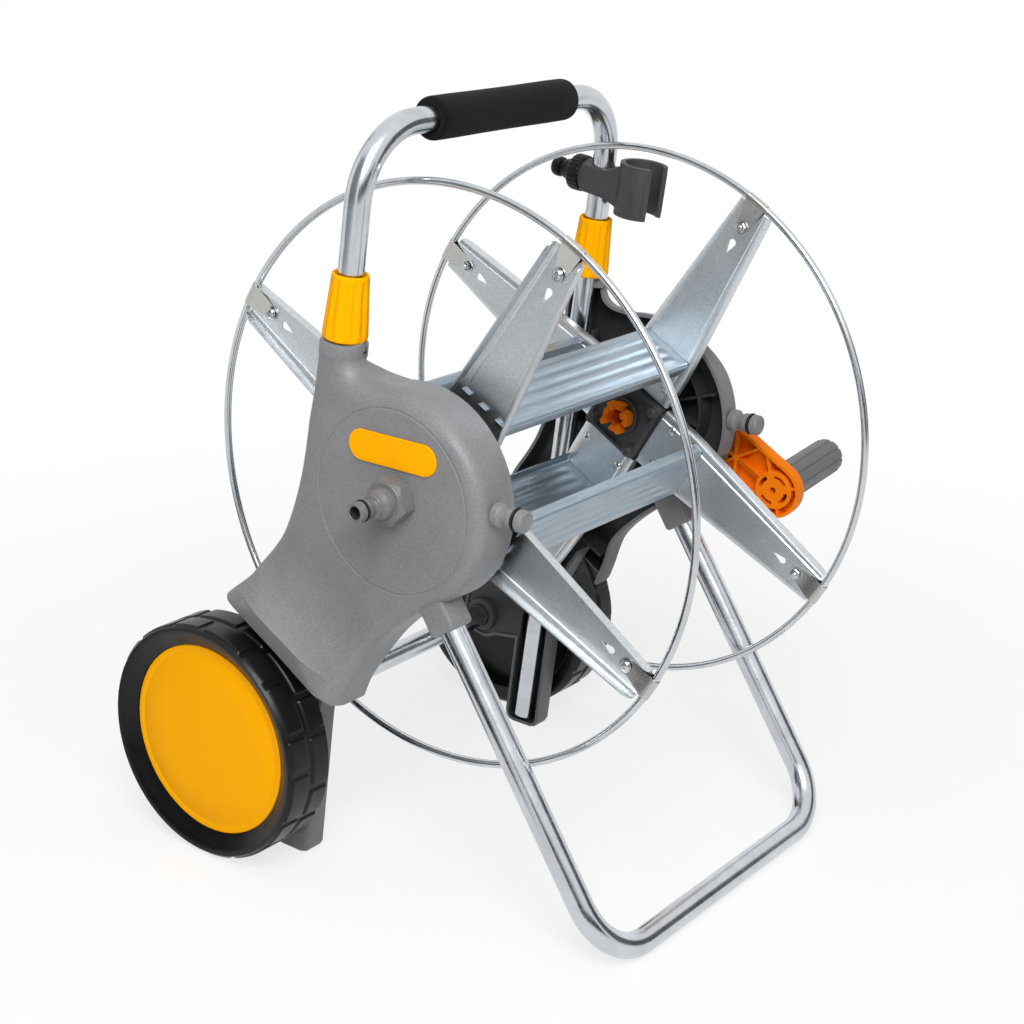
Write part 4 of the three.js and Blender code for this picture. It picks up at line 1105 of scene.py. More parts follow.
def park_stud():
    """Stud on the panel's edge that a hose end is parked on."""
    y = 80  # The panel's front edge, in front of the axle.
    rows = [(0.01, -6), (5, -6), (5, -1.1), (8.5, -1.1), (9.2, -0.4), (9.2, 4.6), (8.5, 5.6), (6.8, 6.8)]
    rows += [(6.8, 10.8), (7.2, 11.6), (8.2, 12.2), (8.2, 16), (7.8, 16.4), (6.4, 16.4), (6.4, 19.6)]
    rows += [(8, 19.6), (8.5, 20.1), (8.5, 24.6), (8, 25.8), (7, 26.5), (5.6, 26.5), (5.3, 26.1), (5, 26)]
    return turned([(r, y + out) for r, out in [*rows, (0.01, 26)]], 56)


def stud_place(x):
    """A parking stud's place on the panel at x; the stud points to the front."""
    at_stud = Matrix.Translation((x, 0, AXLE.z + 1.7))
    return at_stud @ Matrix.Rotation(-math.pi / 2, 4, "Z")


def badge():
    """Plain pill-shaped plate with a soft edge and a fine step round it."""
    x0, x1, radius, flat = 177.8, 179.0, 12.0, 29.5

    def pill(r):
        right = arc(r, -math.pi / 2, math.pi / 2, 20, flat, 0)
        return right + arc(r, math.pi / 2, 3 * math.pi / 2, 20, -flat, 0)

    plate = soften(prism(pill(radius), x0, x1), at_x(x1), 0.45, 3)
    inner_pill = prism(pill(radius - 2.1), x1 - 1, x1 + 2)
    groove = carve(prism(pill(radius - 1.5), x1 - 0.22, x1 + 1), inner_pill)
    place = Matrix.Translation(AXLE + Vector((0, 3.7, 34.4)))
    return shift(carve(plate, groove), place)


def axle_cap():
    """Push-on cap at the end of the wheel axle."""
    x = 206.3
    profile = [(0.01, x), (10.3, x), (10.3, x - 4.3), (13.6, x - 4.3), (14, x - 3.9), (14, x + 0.4)]
    profile += [(13.4, x + 1.2), (12, x + 1.9), (0.01, x + 2)]
    return shift(turned(profile, 48), at_wheel())


# ---------- crank ----------
CRANK_REACH, CRANK_IN = 123.8, 186.7
CRANK_ANGLE = math.radians(210.7)
CRANK_SPLAY = math.radians(4.5)
CRANK_DEEP = 14.0
CRANK_FLOOR = CRANK_DEEP - 2.6  # Where ribs and bosses end in the arm's outer wall.


def crank_place():
    """Takes out, along and across the arm to the cart's axes."""
    splay = Matrix.Rotation(-CRANK_SPLAY, 4, "Z")
    return at_axle(CRANK_ANGLE) @ Matrix.Translation((CRANK_IN, 0, 0)) @ splay


def grip_place():
    """The same, about the grip's pin."""
    return crank_place() @ Matrix.Translation((0, CRANK_REACH, 0))


def crank_outline(inset=0.0):
    """Two round ends joined by straight sides, as (Y, Z)."""
    hub, end = 27.5 - inset, 24.5 - inset
    tilt = math.asin((hub - end) / CRANK_REACH)
    turn = math.pi / 2 - tilt
    return arc(hub, turn, math.tau - turn, 40) + arc(end, -turn, turn, 36, CRANK_REACH, 0)


def crank_ribs():
    """Ribs in the arm's pocket: a star about a post, and four from the grip's boss to the rim."""
    post = Vector((0, CRANK_REACH * 0.648, 0))
    low, high = 1.6, CRANK_FLOOR
    ribs = [block(low, high, -60, 60, -1.1, 1.1) for _ in range(3)]
    for i, rib in enumerate(ribs):
        shift(rib, Matrix.Translation(post) @ Matrix.Rotation(i * math.pi / 3, 4, "X"))
    ribs.append(block(low, high, post.y, CRANK_REACH, -1.7, 1.7))
    for angle in (45, -45, 135, -135):
        place = Matrix.Translation((0, CRANK_REACH, 0)) @ Matrix.Rotation(math.radians(angle), 4, "X")
        ribs.append(shift(block(low, high, 15, 40, -1.1, 1.1), place))
    limits = carve(prism(crank_outline(1.2), -1, CRANK_DEEP - 1), sleeve_at_grip(16.6))
    for rib in ribs:
        modify(rib, "BOOLEAN", operation="INTERSECT", solver="EXACT", object=limits)
    bpy.data.objects.remove(limits)
    pin = turned([(0.01, 1), (2.6, 1), (3, 1.4), (3.2, high), (0.01, high)], 24)
    return [*ribs, shift(pin, Matrix.Translation(post))]


def grip_boss():
    """Boss under the grip: a disc with a hole."""
    profile = [(2.8, 0.6), (16.4, 0.6), (17, 1.2), (17, CRANK_FLOOR), (2.8, CRANK_FLOOR)]
    return shift(turned(profile, 72), Matrix.Translation((0, CRANK_REACH, 0)))


def boss_slots():
    """Cutters for the four curved slots round the grip's pin."""
    slots = []
    for i in range(4):
        a = i * math.pi / 2 - 0.48
        line = arc(13.7, a, a + 0.96, 10) + arc(10.3, a + 0.96, a, 10)
        slot = soften(prism(line, -4, CRANK_DEEP + 4), along_x, 0.8, 2)
        slots.append(shift(slot, Matrix.Translation((0, CRANK_REACH, 0))))
    return slots


def sleeve_at_grip(radius):
    """Cutter of a radius about the grip's pin, right through the arm."""
    return shift(sleeve(0.01, radius, -4, CRANK_DEEP + 4), Matrix.Translation((0, CRANK_REACH, 0)))


def crank_arm():
    """Moulded arm, open towards the panel, with its shaft and the shaft's four-lobed end."""
    shell = prism(crank_outline(), 0, CRANK_DEEP)
    soften(shell, at_x(CRANK_DEEP), 4, 5)
    pick(shell, "FACE", at_x(0))
    bpy.ops.mesh.delete(type="FACE")
    deselect()
    modify(shell, "SOLIDIFY", thickness=3, offset=-1, use_even_offset=True)
    hub = turned([(6, 0), (14.4, 0), (15, 0.6), (15, CRANK_FLOOR), (6, CRANK_FLOOR)], 64)
    boss = carve(grip_boss(), *boss_slots())
    carve(shell, *boss_slots(), sleeve_at_grip(2.8))
    arm = shift(gather(shell, hub, boss, *crank_ribs()), crank_place())
    shaft = [(6.2, 111), (8.9, 111), (9.5, 111.6), (9.5, CRANK_IN + 4), (6.2, CRANK_IN + 4)]
    return gather(arm, shift(turned(shaft, 56), at_axle(CRANK_ANGLE)), *shaft_lobes())


def shaft_lobes():
    """Slit ring with four hooked jaws on the shaft's inner end."""
    parts = []
    for i in range(4):
        quarter = prism(arc(12.6, 0.1, 1.1, 9) + arc(7.6, 1.1, 0.1, 9), 107, 117)
        jaw = block(104.2, 113, 6.6, 14.2, -2.7, 2.7)
        for part, angle, edge in ((quarter, 0.0, 0.8), (jaw, 0.16, 1.0)):
            soften(part, lambda item: True, edge, 3)
            parts.append(shift(part, at_axle(CRANK_ANGLE + i * math.pi / 2 + 0.5 + angle)))
    return parts


def crank_grip():
    """Grip with ten broad flutes and a rounded end."""
    start, end, radius, flutes, per_flute = CRANK_DEEP + 2, 111.5, 16.2, 10, 14
    rows = [(start, 13.5, 0), (start + 0.3, 15.2, 0.4), (start + 1.2, 16, 1), (start + 2.6, radius, 1)]
    rows += [(x, radius, 1) for x in np.linspace(start + 8, end - 8, 6)]
    turn, bend = np.linspace(0, 1.45, 6), 4.5
    rows += [(end - bend + bend * math.sin(a), radius - bend + bend * math.cos(a), 1) for a in turn]
    rows += [(end, 9, 0.2), (end, 5.6, 0), (end - 0.6, 5.2, 0), (end - 6, 5.2, 0), (end - 6, 0.01, 0)]
    rows += [(start, 0.01, 0)]

    def groove(j, depth):
        near = abs((j / per_flute + 0.5) % 1 - 0.5) * per_flute
        return 1.05 * (1 - float(ease(near, 0.4, 1.7))) * depth

    return shift(fluted("grip", rows, flutes * per_flute, groove), grip_place())


def crank_pin():
    """Steel pin that the grip turns on, with its head."""
    x = 106.5
    low = CRANK_DEEP + 1
    profile = [(0.01, low), (2.6, low), (2.6, x), (5, x), (5, x + 1.6), (4.2, x + 2.6), (0.01, x + 3)]
    return shift(turned(profile, 36), grip_place())


def crank_shade_washer():
    """Black washer between the arm and the grip; it closes the arm's slots and the pin's hole at the
    back, and stands in for the shade in them.
    """
    low, high = CRANK_DEEP - 0.6, CRANK_DEEP + 1.6
    profile = [(0.01, low), (15.2, low), (15.2, high), (0.01, high)]
    return shift(turned(profile, 48), grip_place())


# ---------- nozzle holder ----------
CLIP_PLACE = Matrix.Translation((0, -40, 0)) @ X_TO_Z


def clip_wall():
    """C-shaped clip, open to the front, with two shallow upright ribs on each side."""
    outer, inner = 20.0, 16.2
    half = math.pi - math.asin(11.8 / outer)
    wall = prism(arc(outer, -half, half, 60) + arc(inner, half - 0.05, 0.05 - half, 56), -22, 22)

    def mouth_corner(edge):
        a, b = (v.co for v in edge.verts)
        return abs(a.x - b.x) < 0.01 and abs(a.yz.length - b.yz.length) > 2

    soften(wall, mouth_corner, 5, 5)
    soften(wall, lambda edge: along_x(edge) and edge.calc_face_angle(0) > 0.6, 1.5, 4)
    soften(wall, lambda edge: at_x(-22)(edge) or at_x(22)(edge), 1.1, 3)
    ribs = []
    for angle in (100, 132, -100, -132):
        a = math.radians(angle)
        rib = block(-18, 16, outer - 0.6, outer + 0.8, -1.1, 1.1, 0.5, 2)
        ribs.append(shift(rib, Matrix.Rotation(a, 4, "X")))
    return shift(gather(wall, *ribs), CLIP_PLACE)


def holder_web():
    """Body between the clamp round the handle and the clip, deeper towards the clip."""
    rows = []
    sections = [(13, 13.0, -12.5, 12), (8, 14.5, -12.5, 12), (0, 15.5, -12.5, 11), (-8, 14.8, -13, 11)]
    sections += [(-16, 13.4, -15, 14), (-23, 13.2, -18, 18), (-30, 13.2, -20.5, 21)]
    for y, half, low, high in sections:
        middle, tall = (low + high) / 2, (high - low) / 2
        row = []
        for a in np.linspace(0, math.tau, 49)[:-1]:
            c, s = math.cos(a), math.sin(a)
            x, z = math.copysign(abs(c) ** 0.35, c), math.copysign(abs(s) ** 0.22, s)
            row.append((half * x, y, middle + tall * z))
        rows.append(row)
    wide = len(rows[0])
    faces = grid_faces(len(rows), wide, around=True)
    faces += [tuple(range(wide)), tuple(range((len(rows) - 1) * wide, len(rows) * wide))]
    return tidy(built("web", [p for row in rows for p in row], faces))


def nozzle_holder():
    """Web, clip and the spigot that the connector sits on."""
    web = holder_web()
    inside_clip = shift(turned([(0.01, -60), (17.4, -60), (17.4, 60), (0.01, 60)], 64), CLIP_PLACE)
    bore = shift(turned([(0.01, -60), (10.3, -60), (10.3, 60), (0.01, 60)], 56), X_TO_Z)
    web = carve(web, inside_clip, bore)
    spigot = turned([(10.4, 8), (13.5, 8), (13.5, 16), (0.01, 16), (0.01, 14), (10.4, 14)], 48)
    return shift(gather(web, clip_wall(), shift(spigot, X_TO_Y)), on_handle(HANDLE_X, HOLDER_AT.z))


def holder_connector():
    """Ribbed quick connector on the holder's back."""
    start, ribs, per_rib = 16.3, 24, 6
    steps = [(0, 12, 0), (0, 14.6, 0), (0.8, 15.3, 0.4), (2, 15.5, 1), (9.4, 15.5, 1), (11, 14.9, 0.6)]
    steps += [(12.4, 13, 0.1), (14, 11, 0), (15.6, 9.2, 0), (16.4, 8.6, 0), (19.4, 8.6, 0)]
    steps += [(20.2, 7.8, 0), (20.6, 6.5, 0), (23.8, 6.4, 0), (24.6, 8, 0), (25.2, 8.4, 0)]
    steps += [(30, 8.4, 0), (32, 7.4, 0), (33, 6.2, 0), (33, 3.4, 0), (22, 3.2, 0)]
    steps += [(22, 0.01, 0), (0, 0.01, 0)]
    rows = [(start + out, radius, depth) for out, radius, depth in steps]

    def groove(j, depth):
        near = abs((j / per_rib + 0.5) % 1 - 0.5) * per_rib
        return 0.8 * (1 - float(ease(near, 0.6, 1.8))) * depth

    made = fluted("connector", rows, ribs * per_rib, groove)
    return shift(made, on_handle(HANDLE_X, HOLDER_AT.z) @ X_TO_Y)


# ---------- materials ----------
def shade(colour, by):
    """The same colour, lighter or darker."""
    return (*[min(1.0, c * by) for c in colour[:3]], 1.0)


def per(mm):
    """Scale of a pattern whose features are so many millimetres wide."""
    return 1000 / mm


def put(tree, kind, values, **settings):
    """Adds a node with its settings, values and links."""
    made = tree.nodes.new("ShaderNode" + kind)
    for key, value in settings.items():
        setattr(made, key, value)
    for key, value in values.items():
        socket = made.inputs[key]
        if isinstance(value, bpy.types.NodeSocket):
            tree.links.new(value, socket)
        else:
            socket.default_value = value
    return made


def new_finish(name):
    made = bpy.data.materials.new(name)
    made.use_nodes = True
    tree = made.node_tree
    return made, tree, tree.nodes["Principled BSDF"], put(tree, "TexCoord", {}).outputs["Object"]


def moulded(name, colour, rough, grain=1.0, depth=0.014, cloud=0.05, dust=0.0, shine=0.5, hollow=None):
    """Moulded plastic: a fine eroded grain, faint clouds from the flow and slightly uneven gloss."""
    # The real grain is a few tenths of a millimetre; it is drawn as coarse as it needs to be to show.
    made, tree, shader, place = new_finish(name)
    clouds = put(tree, "TexNoise", {"Vector": place, "Scale": per(55), "Detail": 4, "Roughness": 0.6})
    specks = put(tree, "TexNoise", {"Vector": place, "Scale": per(grain), "Detail": 3, "Roughness": 0.7})
    both = {0: clouds.outputs[0], 1: 0.4, 2: specks.outputs[0]}
    both = put(tree, "Math", both, operation="MULTIPLY_ADD")
    tone = put(tree, "MapRange", {"Value": both.outputs[0], "From Min": 0.42, "From Max": 0.98})
    dark, light = shade(colour, 1 - cloud), shade(colour, 1 + cloud)
    base = put(tree, "Mix", {0: tone.outputs[0], 6: dark, 7: light}, data_type="RGBA").outputs[2]
    if dust:
        lint = put(tree, "TexNoise", {"Vector": place, "Scale": per(7), "Detail": 8, "Roughness": 0.75})
        where = {"Value": lint.outputs[0], "From Min": 0.58, "From Max": 0.78, "To Max": dust}
        where = put(tree, "MapRange", where)
        dusty = {0: where.outputs[0], 6: base, 7: linear("8f8a82")}
        base = put(tree, "Mix", dusty, data_type="RGBA").outputs[2]
    # Painted shade: marked faces are darkened towards the given colour by their face attribute.
    if hollow:
        deep = put(tree, "Attribute", {}, attribute_name="hollow").outputs["Fac"]
        base = put(tree, "Mix", {0: deep, 6: base, 7: hollow}, data_type="RGBA").outputs[2]
    tree.links.new(base, shader.inputs["Base Color"])
    gloss = put(tree, "TexNoise", {"Vector": place, "Scale": per(18), "Detail": 5, "Roughness": 0.65})
    spread = {"From Min": 0.3, "From Max": 0.7, "To Min": rough - 0.06, "To Max": rough + 0.06}
    gloss = put(tree, "MapRange", {"Value": gloss.outputs[0], **spread})
    tree.links.new(gloss.outputs[0], shader.inputs["Roughness"])
    sink = put(tree, "TexNoise", {"Vector": place, "Scale": per(38), "Detail": 1})
    wave = put(tree, "Bump", {"Height": sink.outputs[0], "Strength": 1, "Distance": 0.15 * MM})
    relief = {"Height": specks.outputs[0], "Strength": 1, "Distance": depth * MM}
    relief["Normal"] = wave.outputs[0]
    tree.links.new(put(tree, "Bump", relief).outputs[0], shader.inputs["Normal"])
    shader.inputs["IOR"].default_value = 1.49
    shader.inputs["Specular IOR Level"].default_value = shine
    return made


def drawn_zinc(name, colour, rough, spot=0.1, drawn=(1, 1, 0.06)):
    """Bright zinc plating on drawn steel: a cloudy grey film, fine scratches and a few dull spots."""
    # Real scratches are far finer; they are drawn as coarse as they need to be to show.
    made, tree, shader, place = new_finish(name)
    clouds = put(tree, "TexNoise", {"Vector": place, "Scale": per(22), "Detail": 4, "Roughness": 0.6})
    along = put(tree, "Mapping", {"Vector": place, "Scale": drawn}).outputs[0]
    lines = put(tree, "TexNoise", {"Vector": along, "Scale": per(1.2), "Detail": 2})
    spots = put(tree, "TexNoise", {"Vector": place, "Scale": per(2.6), "Detail": 5, "Roughness": 0.8})
    spot = {"Value": spots.outputs[0], "From Min": 0.6, "From Max": 0.74, "To Max": spot}
    spot = put(tree, "MapRange", spot)
    tone = put(tree, "MapRange", {"Value": clouds.outputs[0], "From Min": 0.35, "From Max": 0.65})
    base = {0: tone.outputs[0], 6: shade(colour, 0.9), 7: shade(colour, 1.05)}
    base = put(tree, "Mix", base, data_type="RGBA")
    base = {0: spot.outputs[0], 6: base.outputs[2], 7: shade(colour, 0.2)}
    base = put(tree, "Mix", base, data_type="RGBA")
    tree.links.new(base.outputs[2], shader.inputs["Base Color"])
    mixed = put(tree, "Math", {0: lines.outputs[0], 1: clouds.outputs[0]}, operation="ADD")
    spread = {"From Min": 0.7, "From Max": 1.3, "To Min": rough - 0.05, "To Max": rough + 0.05}
    gloss = put(tree, "MapRange", {"Value": mixed.outputs[0], **spread})
    dull = put(tree, "Math", {0: spot.outputs[0], 1: 1.2, 2: gloss.outputs[0]}, operation="MULTIPLY_ADD")
    tree.links.new(dull.outputs[0], shader.inputs["Roughness"])
    bump = put(tree, "Bump", {"Height": lines.outputs[0], "Strength": 1, "Distance": 0.002 * MM})
    tree.links.new(bump.outputs[0], shader.inputs["Normal"])
    shader.inputs["Metallic"].default_value = 1.0
    return made


def galvanised(name, colour, rough=0.36, drawn=(1, 1, 1)):
    """Galvanised sheet with a minimised spangle: a fine speckle under a soft, uneven gloss."""
    # Its crystals are half a millimetre wide; they are drawn as coarse as they need to be to show.
    made, tree, shader, place = new_finish(name)
    along = put(tree, "Mapping", {"Vector": place, "Scale": drawn}).outputs[0]
    cells = put(tree, "TexVoronoi", {"Vector": along, "Scale": per(1.3), "Randomness": 1.0})
    crystal = put(tree, "SeparateColor", {"Color": cells.outputs["Color"]})
    grit = put(tree, "TexNoise", {"Vector": along, "Scale": per(1.0), "Detail": 4, "Roughness": 0.75})
    haze = put(tree, "TexNoise", {"Vector": along, "Scale": per(70), "Detail": 3, "Roughness": 0.5})
    tone = {0: crystal.outputs[0], 1: 0.3, 2: grit.outputs[0]}
    tone = put(tree, "Math", tone, operation="MULTIPLY_ADD")
    tone = put(tree, "Math", {0: haze.outputs[0], 1: 0.5, 2: tone.outputs[0]}, operation="MULTIPLY_ADD")
    tone = put(tree, "MapRange", {"Value": tone.outputs[0], "From Min": 0.55, "From Max": 1.25})
    base = {0: tone.outputs[0], 6: shade(colour, 0.76), 7: shade(colour, 1.14)}
    base = put(tree, "Mix", base, data_type="RGBA")
    tree.links.new(base.outputs[2], shader.inputs["Base Color"])
    uneven = {0: crystal.outputs[1], 1: 0.4, 2: haze.outputs[0]}
    uneven = put(tree, "Math", uneven, operation="MULTIPLY_ADD")
    spread = {"From Min": 0.35, "From Max": 1.0, "To Min": rough - 0.06, "To Max": rough + 0.08}
    gloss = put(tree, "MapRange", {"Value": uneven.outputs[0], **spread})
    tree.links.new(gloss.outputs[0], shader.inputs["Roughness"])
    sag = put(tree, "TexNoise", {"Vector": place, "Scale": per(45), "Detail": 1})
    wave = put(tree, "Bump", {"Height": sag.outputs[0], "Strength": 1, "Distance": 0.5 * MM})
    relief = {"Height": grit.outputs[0], "Strength": 1, "Distance": 0.02 * MM, "Normal": wave.outputs[0]}
    tree.links.new(put(tree, "Bump", relief).outputs[0], shader.inputs["Normal"])
    shader.inputs["Metallic"].default_value = 1.0
    return made


def foam(name, colour):
    """Closed-cell rubber foam: quite matt, with pores about a millimetre across."""
    made, tree, shader, place = new_finish(name)
    # Real pores are half that size; they are drawn as coarse as they need to be to show.
    pores = put(tree, "TexVoronoi", {"Vector": place, "Scale": per(1.4), "Randomness": 1.0})
    lumps = put(tree, "TexNoise", {"Vector": place, "Scale": per(9), "Detail": 5, "Roughness": 0.7})
    tone = put(tree, "MapRange", {"Value": lumps.outputs[0], "From Min": 0.35, "From Max": 0.7})
    base = {0: tone.outputs[0], 6: shade(colour, 0.75), 7: shade(colour, 1.9)}
    base = put(tree, "Mix", base, data_type="RGBA")
    tree.links.new(base.outputs[2], shader.inputs["Base Color"])
    low = put(tree, "Bump", {"Height": lumps.outputs[0], "Strength": 1, "Distance": 0.35 * MM})
    relief = {"Height": pores.outputs["Distance"], "Strength": 1, "Distance": 0.22 * MM}
    relief["Normal"] = low.outputs[0]
    tree.links.new(put(tree, "Bump", relief).outputs[0], shader.inputs["Normal"])
    shader.inputs["Roughness"].default_value = 0.88
    shader.inputs["Specular IOR Level"].default_value = 0.2
    shader.inputs["Sheen Weight"].default_value = 0.05
    return made


def make_finishes(c):
    """All the materials, from the colours in the settings."""
    grey, dark, black = tuple(c.grey), tuple(c.dark), linear("0a0a0b")
    # The colour that marked faces of the grey moulding darken towards is painted shade.
    moulding = {"cloud": 0.3, "shine": 0.45, "hollow": shade(grey, 0.17)}
    gloss = {"depth": 0.004, "cloud": 0.05, "shine": 0.04}
    even = (1, 1, 1)
    return {
        # Polypropylene moulded in an eroded tool: satin, with a fine even grain.
        "grey_plastic": moulded("moulded_polypropylene_grey", grey, 0.43, 1.3, 0.02, **moulding),
        # A darker copy of the grey, as painted shade: on the crank side's panel and stud, and on the
        # inlet's nut and nozzle.
        "shaded": moulded("moulded_polypropylene_painted_shade", shade(grey, 0.8), 0.46, 1.3, 0.02, **moulding),
        "crank_grip_plastic": moulded("moulded_polypropylene_grip", shade(grey, 0.6), 0.42, shine=0.35),
        # Glass-filled nylon: darker, and a little rougher where the fibres lie near the surface.
        "dark_plastic": moulded("moulded_nylon_dark", dark, 0.48, 0.8, 0.02, cloud=0.12, shine=0.3),
        "black_plastic": moulded("moulded_nylon_black", black, 0.36, 0.8, cloud=0.1, shine=0.25),
        # Blown polyethylene tyre: hard and black, satin where it is clean and dusty in places.
        "tyre": moulded("blown_polyethylene_tyre", black, 0.34, 1.6, 0.02, 0.15, 0.02, shine=0.3),
        # Nitrile rubber: soft black with a wide, dull highlight.
        "seal_rubber": moulded("nitrile_rubber", linear("111111"), 0.6, cloud=0.1, shine=0.3),
        # Polypropylene from a polished tool: strong colour, smoother and glossier than the grey.
        "yellow_plastic": moulded("polished_polypropylene_yellow", tuple(c.yellow), 0.34, 0.7, **gloss),
        "orange_plastic": moulded("polished_polypropylene_orange", tuple(c.orange), 0.36, 0.7, **gloss),
        # Closed-cell nitrile foam: black and quite matt, with open pores in its cut skin.
        "foam": foam("nitrile_foam_black", linear("050505")),
        # Bright zinc on drawn tube and wire: mirror-like along the tube, with a cloudy grey film.
        "zinc_tube": drawn_zinc("bright_zinc_tube", linear("cccfd3"), 0.2),
        "zinc_wire": drawn_zinc("bright_zinc_wire", linear("cccfd2"), 0.2, 0.03, even),
        # Zinc-plated screws and clips: the clips' sheet is darker than the arms', the screws gleam.
        "plated_steel": drawn_zinc("plated_steel", linear("c8c9ca"), 0.2, 0.05, even),
        "clip": drawn_zinc("plated_clip_sheet", linear("c6c5c2"), 0.26, 0.1, even),
        # Galvanised steel: the arms' sheet has an even fine grain, the slats' strip was drawn along X.
        "galvanised_sheet": galvanised("galvanised_steel_sheet", linear("d6dadd")),
        "galvanised_strip": galvanised("galvanised_steel_strip", linear("a9b7c2"), drawn=(0.06, 1, 1)),
    }


FINISH = {}


# ---------- stage ----------
# The cards that give the metal its streaks: azimuth from +X in degrees, width, height and tone.
# The camera is at 216 degrees.
CARDS = [
    (163, 2.6, 2.6, "8a8e92"),
    (240, 2.9, 0.75, "34373a"),
    (304, 1.6, 1.3, "55585c"),
    (88, 0.3, 2.6, "26282b"),
]
CAMERA_AT = (-1232.49, -885.02, 803.17)
CAMERA_RIGHT = (0.60265, -0.79736, 0.03211)
CAMERA_UP = (0.24345, 0.22202, 0.94416)
FOCAL_LENGTH = 69.67


def soft_lamp(name, place, watts, size, seen=False):
    """Square area lamp aimed at the middle of the cart; metal shows it only where it is seen."""
    deselect()
    bpy.ops.object.light_add(type="AREA", location=place)
    lamp = bpy.context.object
    lamp.name = name
    lamp.data.energy = watts
    lamp.data.size = size
    aim = Vector((0, 0, 0.3)) - Vector(place)
    lamp.rotation_euler = aim.to_track_quat("-Z", "Y").to_euler()
    lamp.visible_camera = False
    lamp.visible_glossy = seen


def dark_card(name, azimuth, wide, low, high, tone, far=2.3):
    """Upright dark card that only reflections see; it gives bright metal its streaks."""
    deselect()
    bpy.ops.mesh.primitive_plane_add(size=1)
    card = bpy.context.object
    card.name = name
    a = math.radians(azimuth)
    card.scale = (high - low, wide, 1)
    card.location = (far * math.cos(a), far * math.sin(a), (high + low) / 2)
    card.rotation_euler = (0, -math.pi / 2, a)
    for ray in ("camera", "diffuse", "shadow", "transmission", "volume_scatter"):
        setattr(card, "visible_" + ray, False)
    made = bpy.data.materials.new(name)
    made.use_nodes = True
    tree = made.node_tree
    tree.nodes.clear()
    glow = put(tree, "Emission", {"Color": linear(tone), "Strength": 1})
    put(tree, "OutputMaterial", {"Surface": glow.outputs[0]})
    card.data.materials.append(made)


def seen_directly(tree):
    """1 for rays from the camera, and for those that metal or glass sends on."""
    path = put(tree, "LightPath", {})
    first = {0: path.outputs["Is Camera Ray"], 1: path.outputs["Is Glossy Ray"]}
    first = put(tree, "Math", first, operation="MAXIMUM")
    both = {0: first.outputs[0], 1: path.outputs["Is Transmission Ray"]}
    return put(tree, "Math", both, operation="MAXIMUM").outputs[0]


def white_world(s):
    """White room: dim as light, plain white to the camera, in metal and through glass."""
    world = bpy.data.worlds.new("white_room")
    bpy.context.scene.world = world
    world.use_nodes = True
    tree = world.node_tree
    tree.nodes.clear()
    room = put(tree, "Background", {"Color": (1, 1, 1, 1), "Strength": s.room})
    white = put(tree, "Background", {"Color": (1, 1, 1, 1), "Strength": 1})
    mixed = put(tree, "MixShader", {0: seen_directly(tree), 1: room.outputs[0], 2: white.outputs[0]})
    put(tree, "OutputWorld", {"Surface": mixed.outputs[0]})


def pale_floor():
    """Pale floor that keeps the shadow near the cart and turns white farther out."""
    deselect()
    bpy.ops.mesh.primitive_plane_add(size=40, location=(0, 0, -0.0005))
    floor = bpy.context.object
    floor.name = "floor"
    made = bpy.data.materials.new("matt_white_floor")
    made.use_nodes = True
    tree = made.node_tree
    tree.nodes.clear()
    place = put(tree, "TexCoord", {}).outputs["Object"]
    far = put(tree, "VectorMath", {0: place}, operation="LENGTH").outputs["Value"]
    far = put(tree, "MapRange", {"Value": far, "From Min": 0.35, "From Max": 1.1, "To Min": 0.76})
    share = put(tree, "Math", {0: far.outputs[0], 1: seen_directly(tree)}, operation="MULTIPLY")
    matt = put(tree, "BsdfDiffuse", {"Color": (0.9, 0.9, 0.9, 1)})
    white = put(tree, "Emission", {"Color": (1, 1, 1, 1), "Strength": 1})
    mixed = put(tree, "MixShader", {0: share.outputs[0], 1: matt.outputs[0], 2: white.outputs[0]})
    put(tree, "OutputMaterial", {"Surface": mixed.outputs[0]})
    floor.data.materials.append(made)


def cart_camera():
    """Camera with its place in the cart's own millimetres."""
    deselect()
    bpy.ops.object.camera_add()
    camera = bpy.context.object
    right, up = Vector(CAMERA_RIGHT), Vector(CAMERA_UP)
    turn = Matrix((right, up, right.cross(up))).transposed().to_4x4()
    camera.matrix_world = Matrix.Translation(TO_FRAME @ Vector(CAMERA_AT)) @ turn
    camera.data.lens = FOCAL_LENGTH
    camera.data.sensor_width = 36
    bpy.context.scene.camera = camera


# ---------- operators ----------
class BuildFinishes(bpy.types.Operator):
    """Makes the materials of all the pieces."""

    bl_idname = "hose_reel.finishes"
    bl_label = "Finishes"

    def execute(self, context):
        FINISH.update(make_finishes(context.scene.reel_colours))
        return {"FINISHED"}


class BuildSidePanels(bpy.types.Operator):
    """Builds the two moulded side panels."""

    bl_idname = "hose_reel.side_panels"
    bl_label = "Side Panels"

    def execute(self, context):
        s = in_mm(context.scene.reel_panel)
        left = shift(side_panel(s, True), MIRROR)
        keep(left, "panel_left", "frame", "grey_plastic", ["side_panel_left"])
        s.inner, s.outer, s.edge = s.crank_inner, s.crank_outer, s.edge - 2
        right = side_panel(s, False)
        # The crank side's panel takes the darker copy of the grey: painted shade.
        keep(right, "panel_right", "frame", "grey_plastic", ["side_panel_right"], finish="shaded")
        return {"FINISHED"}


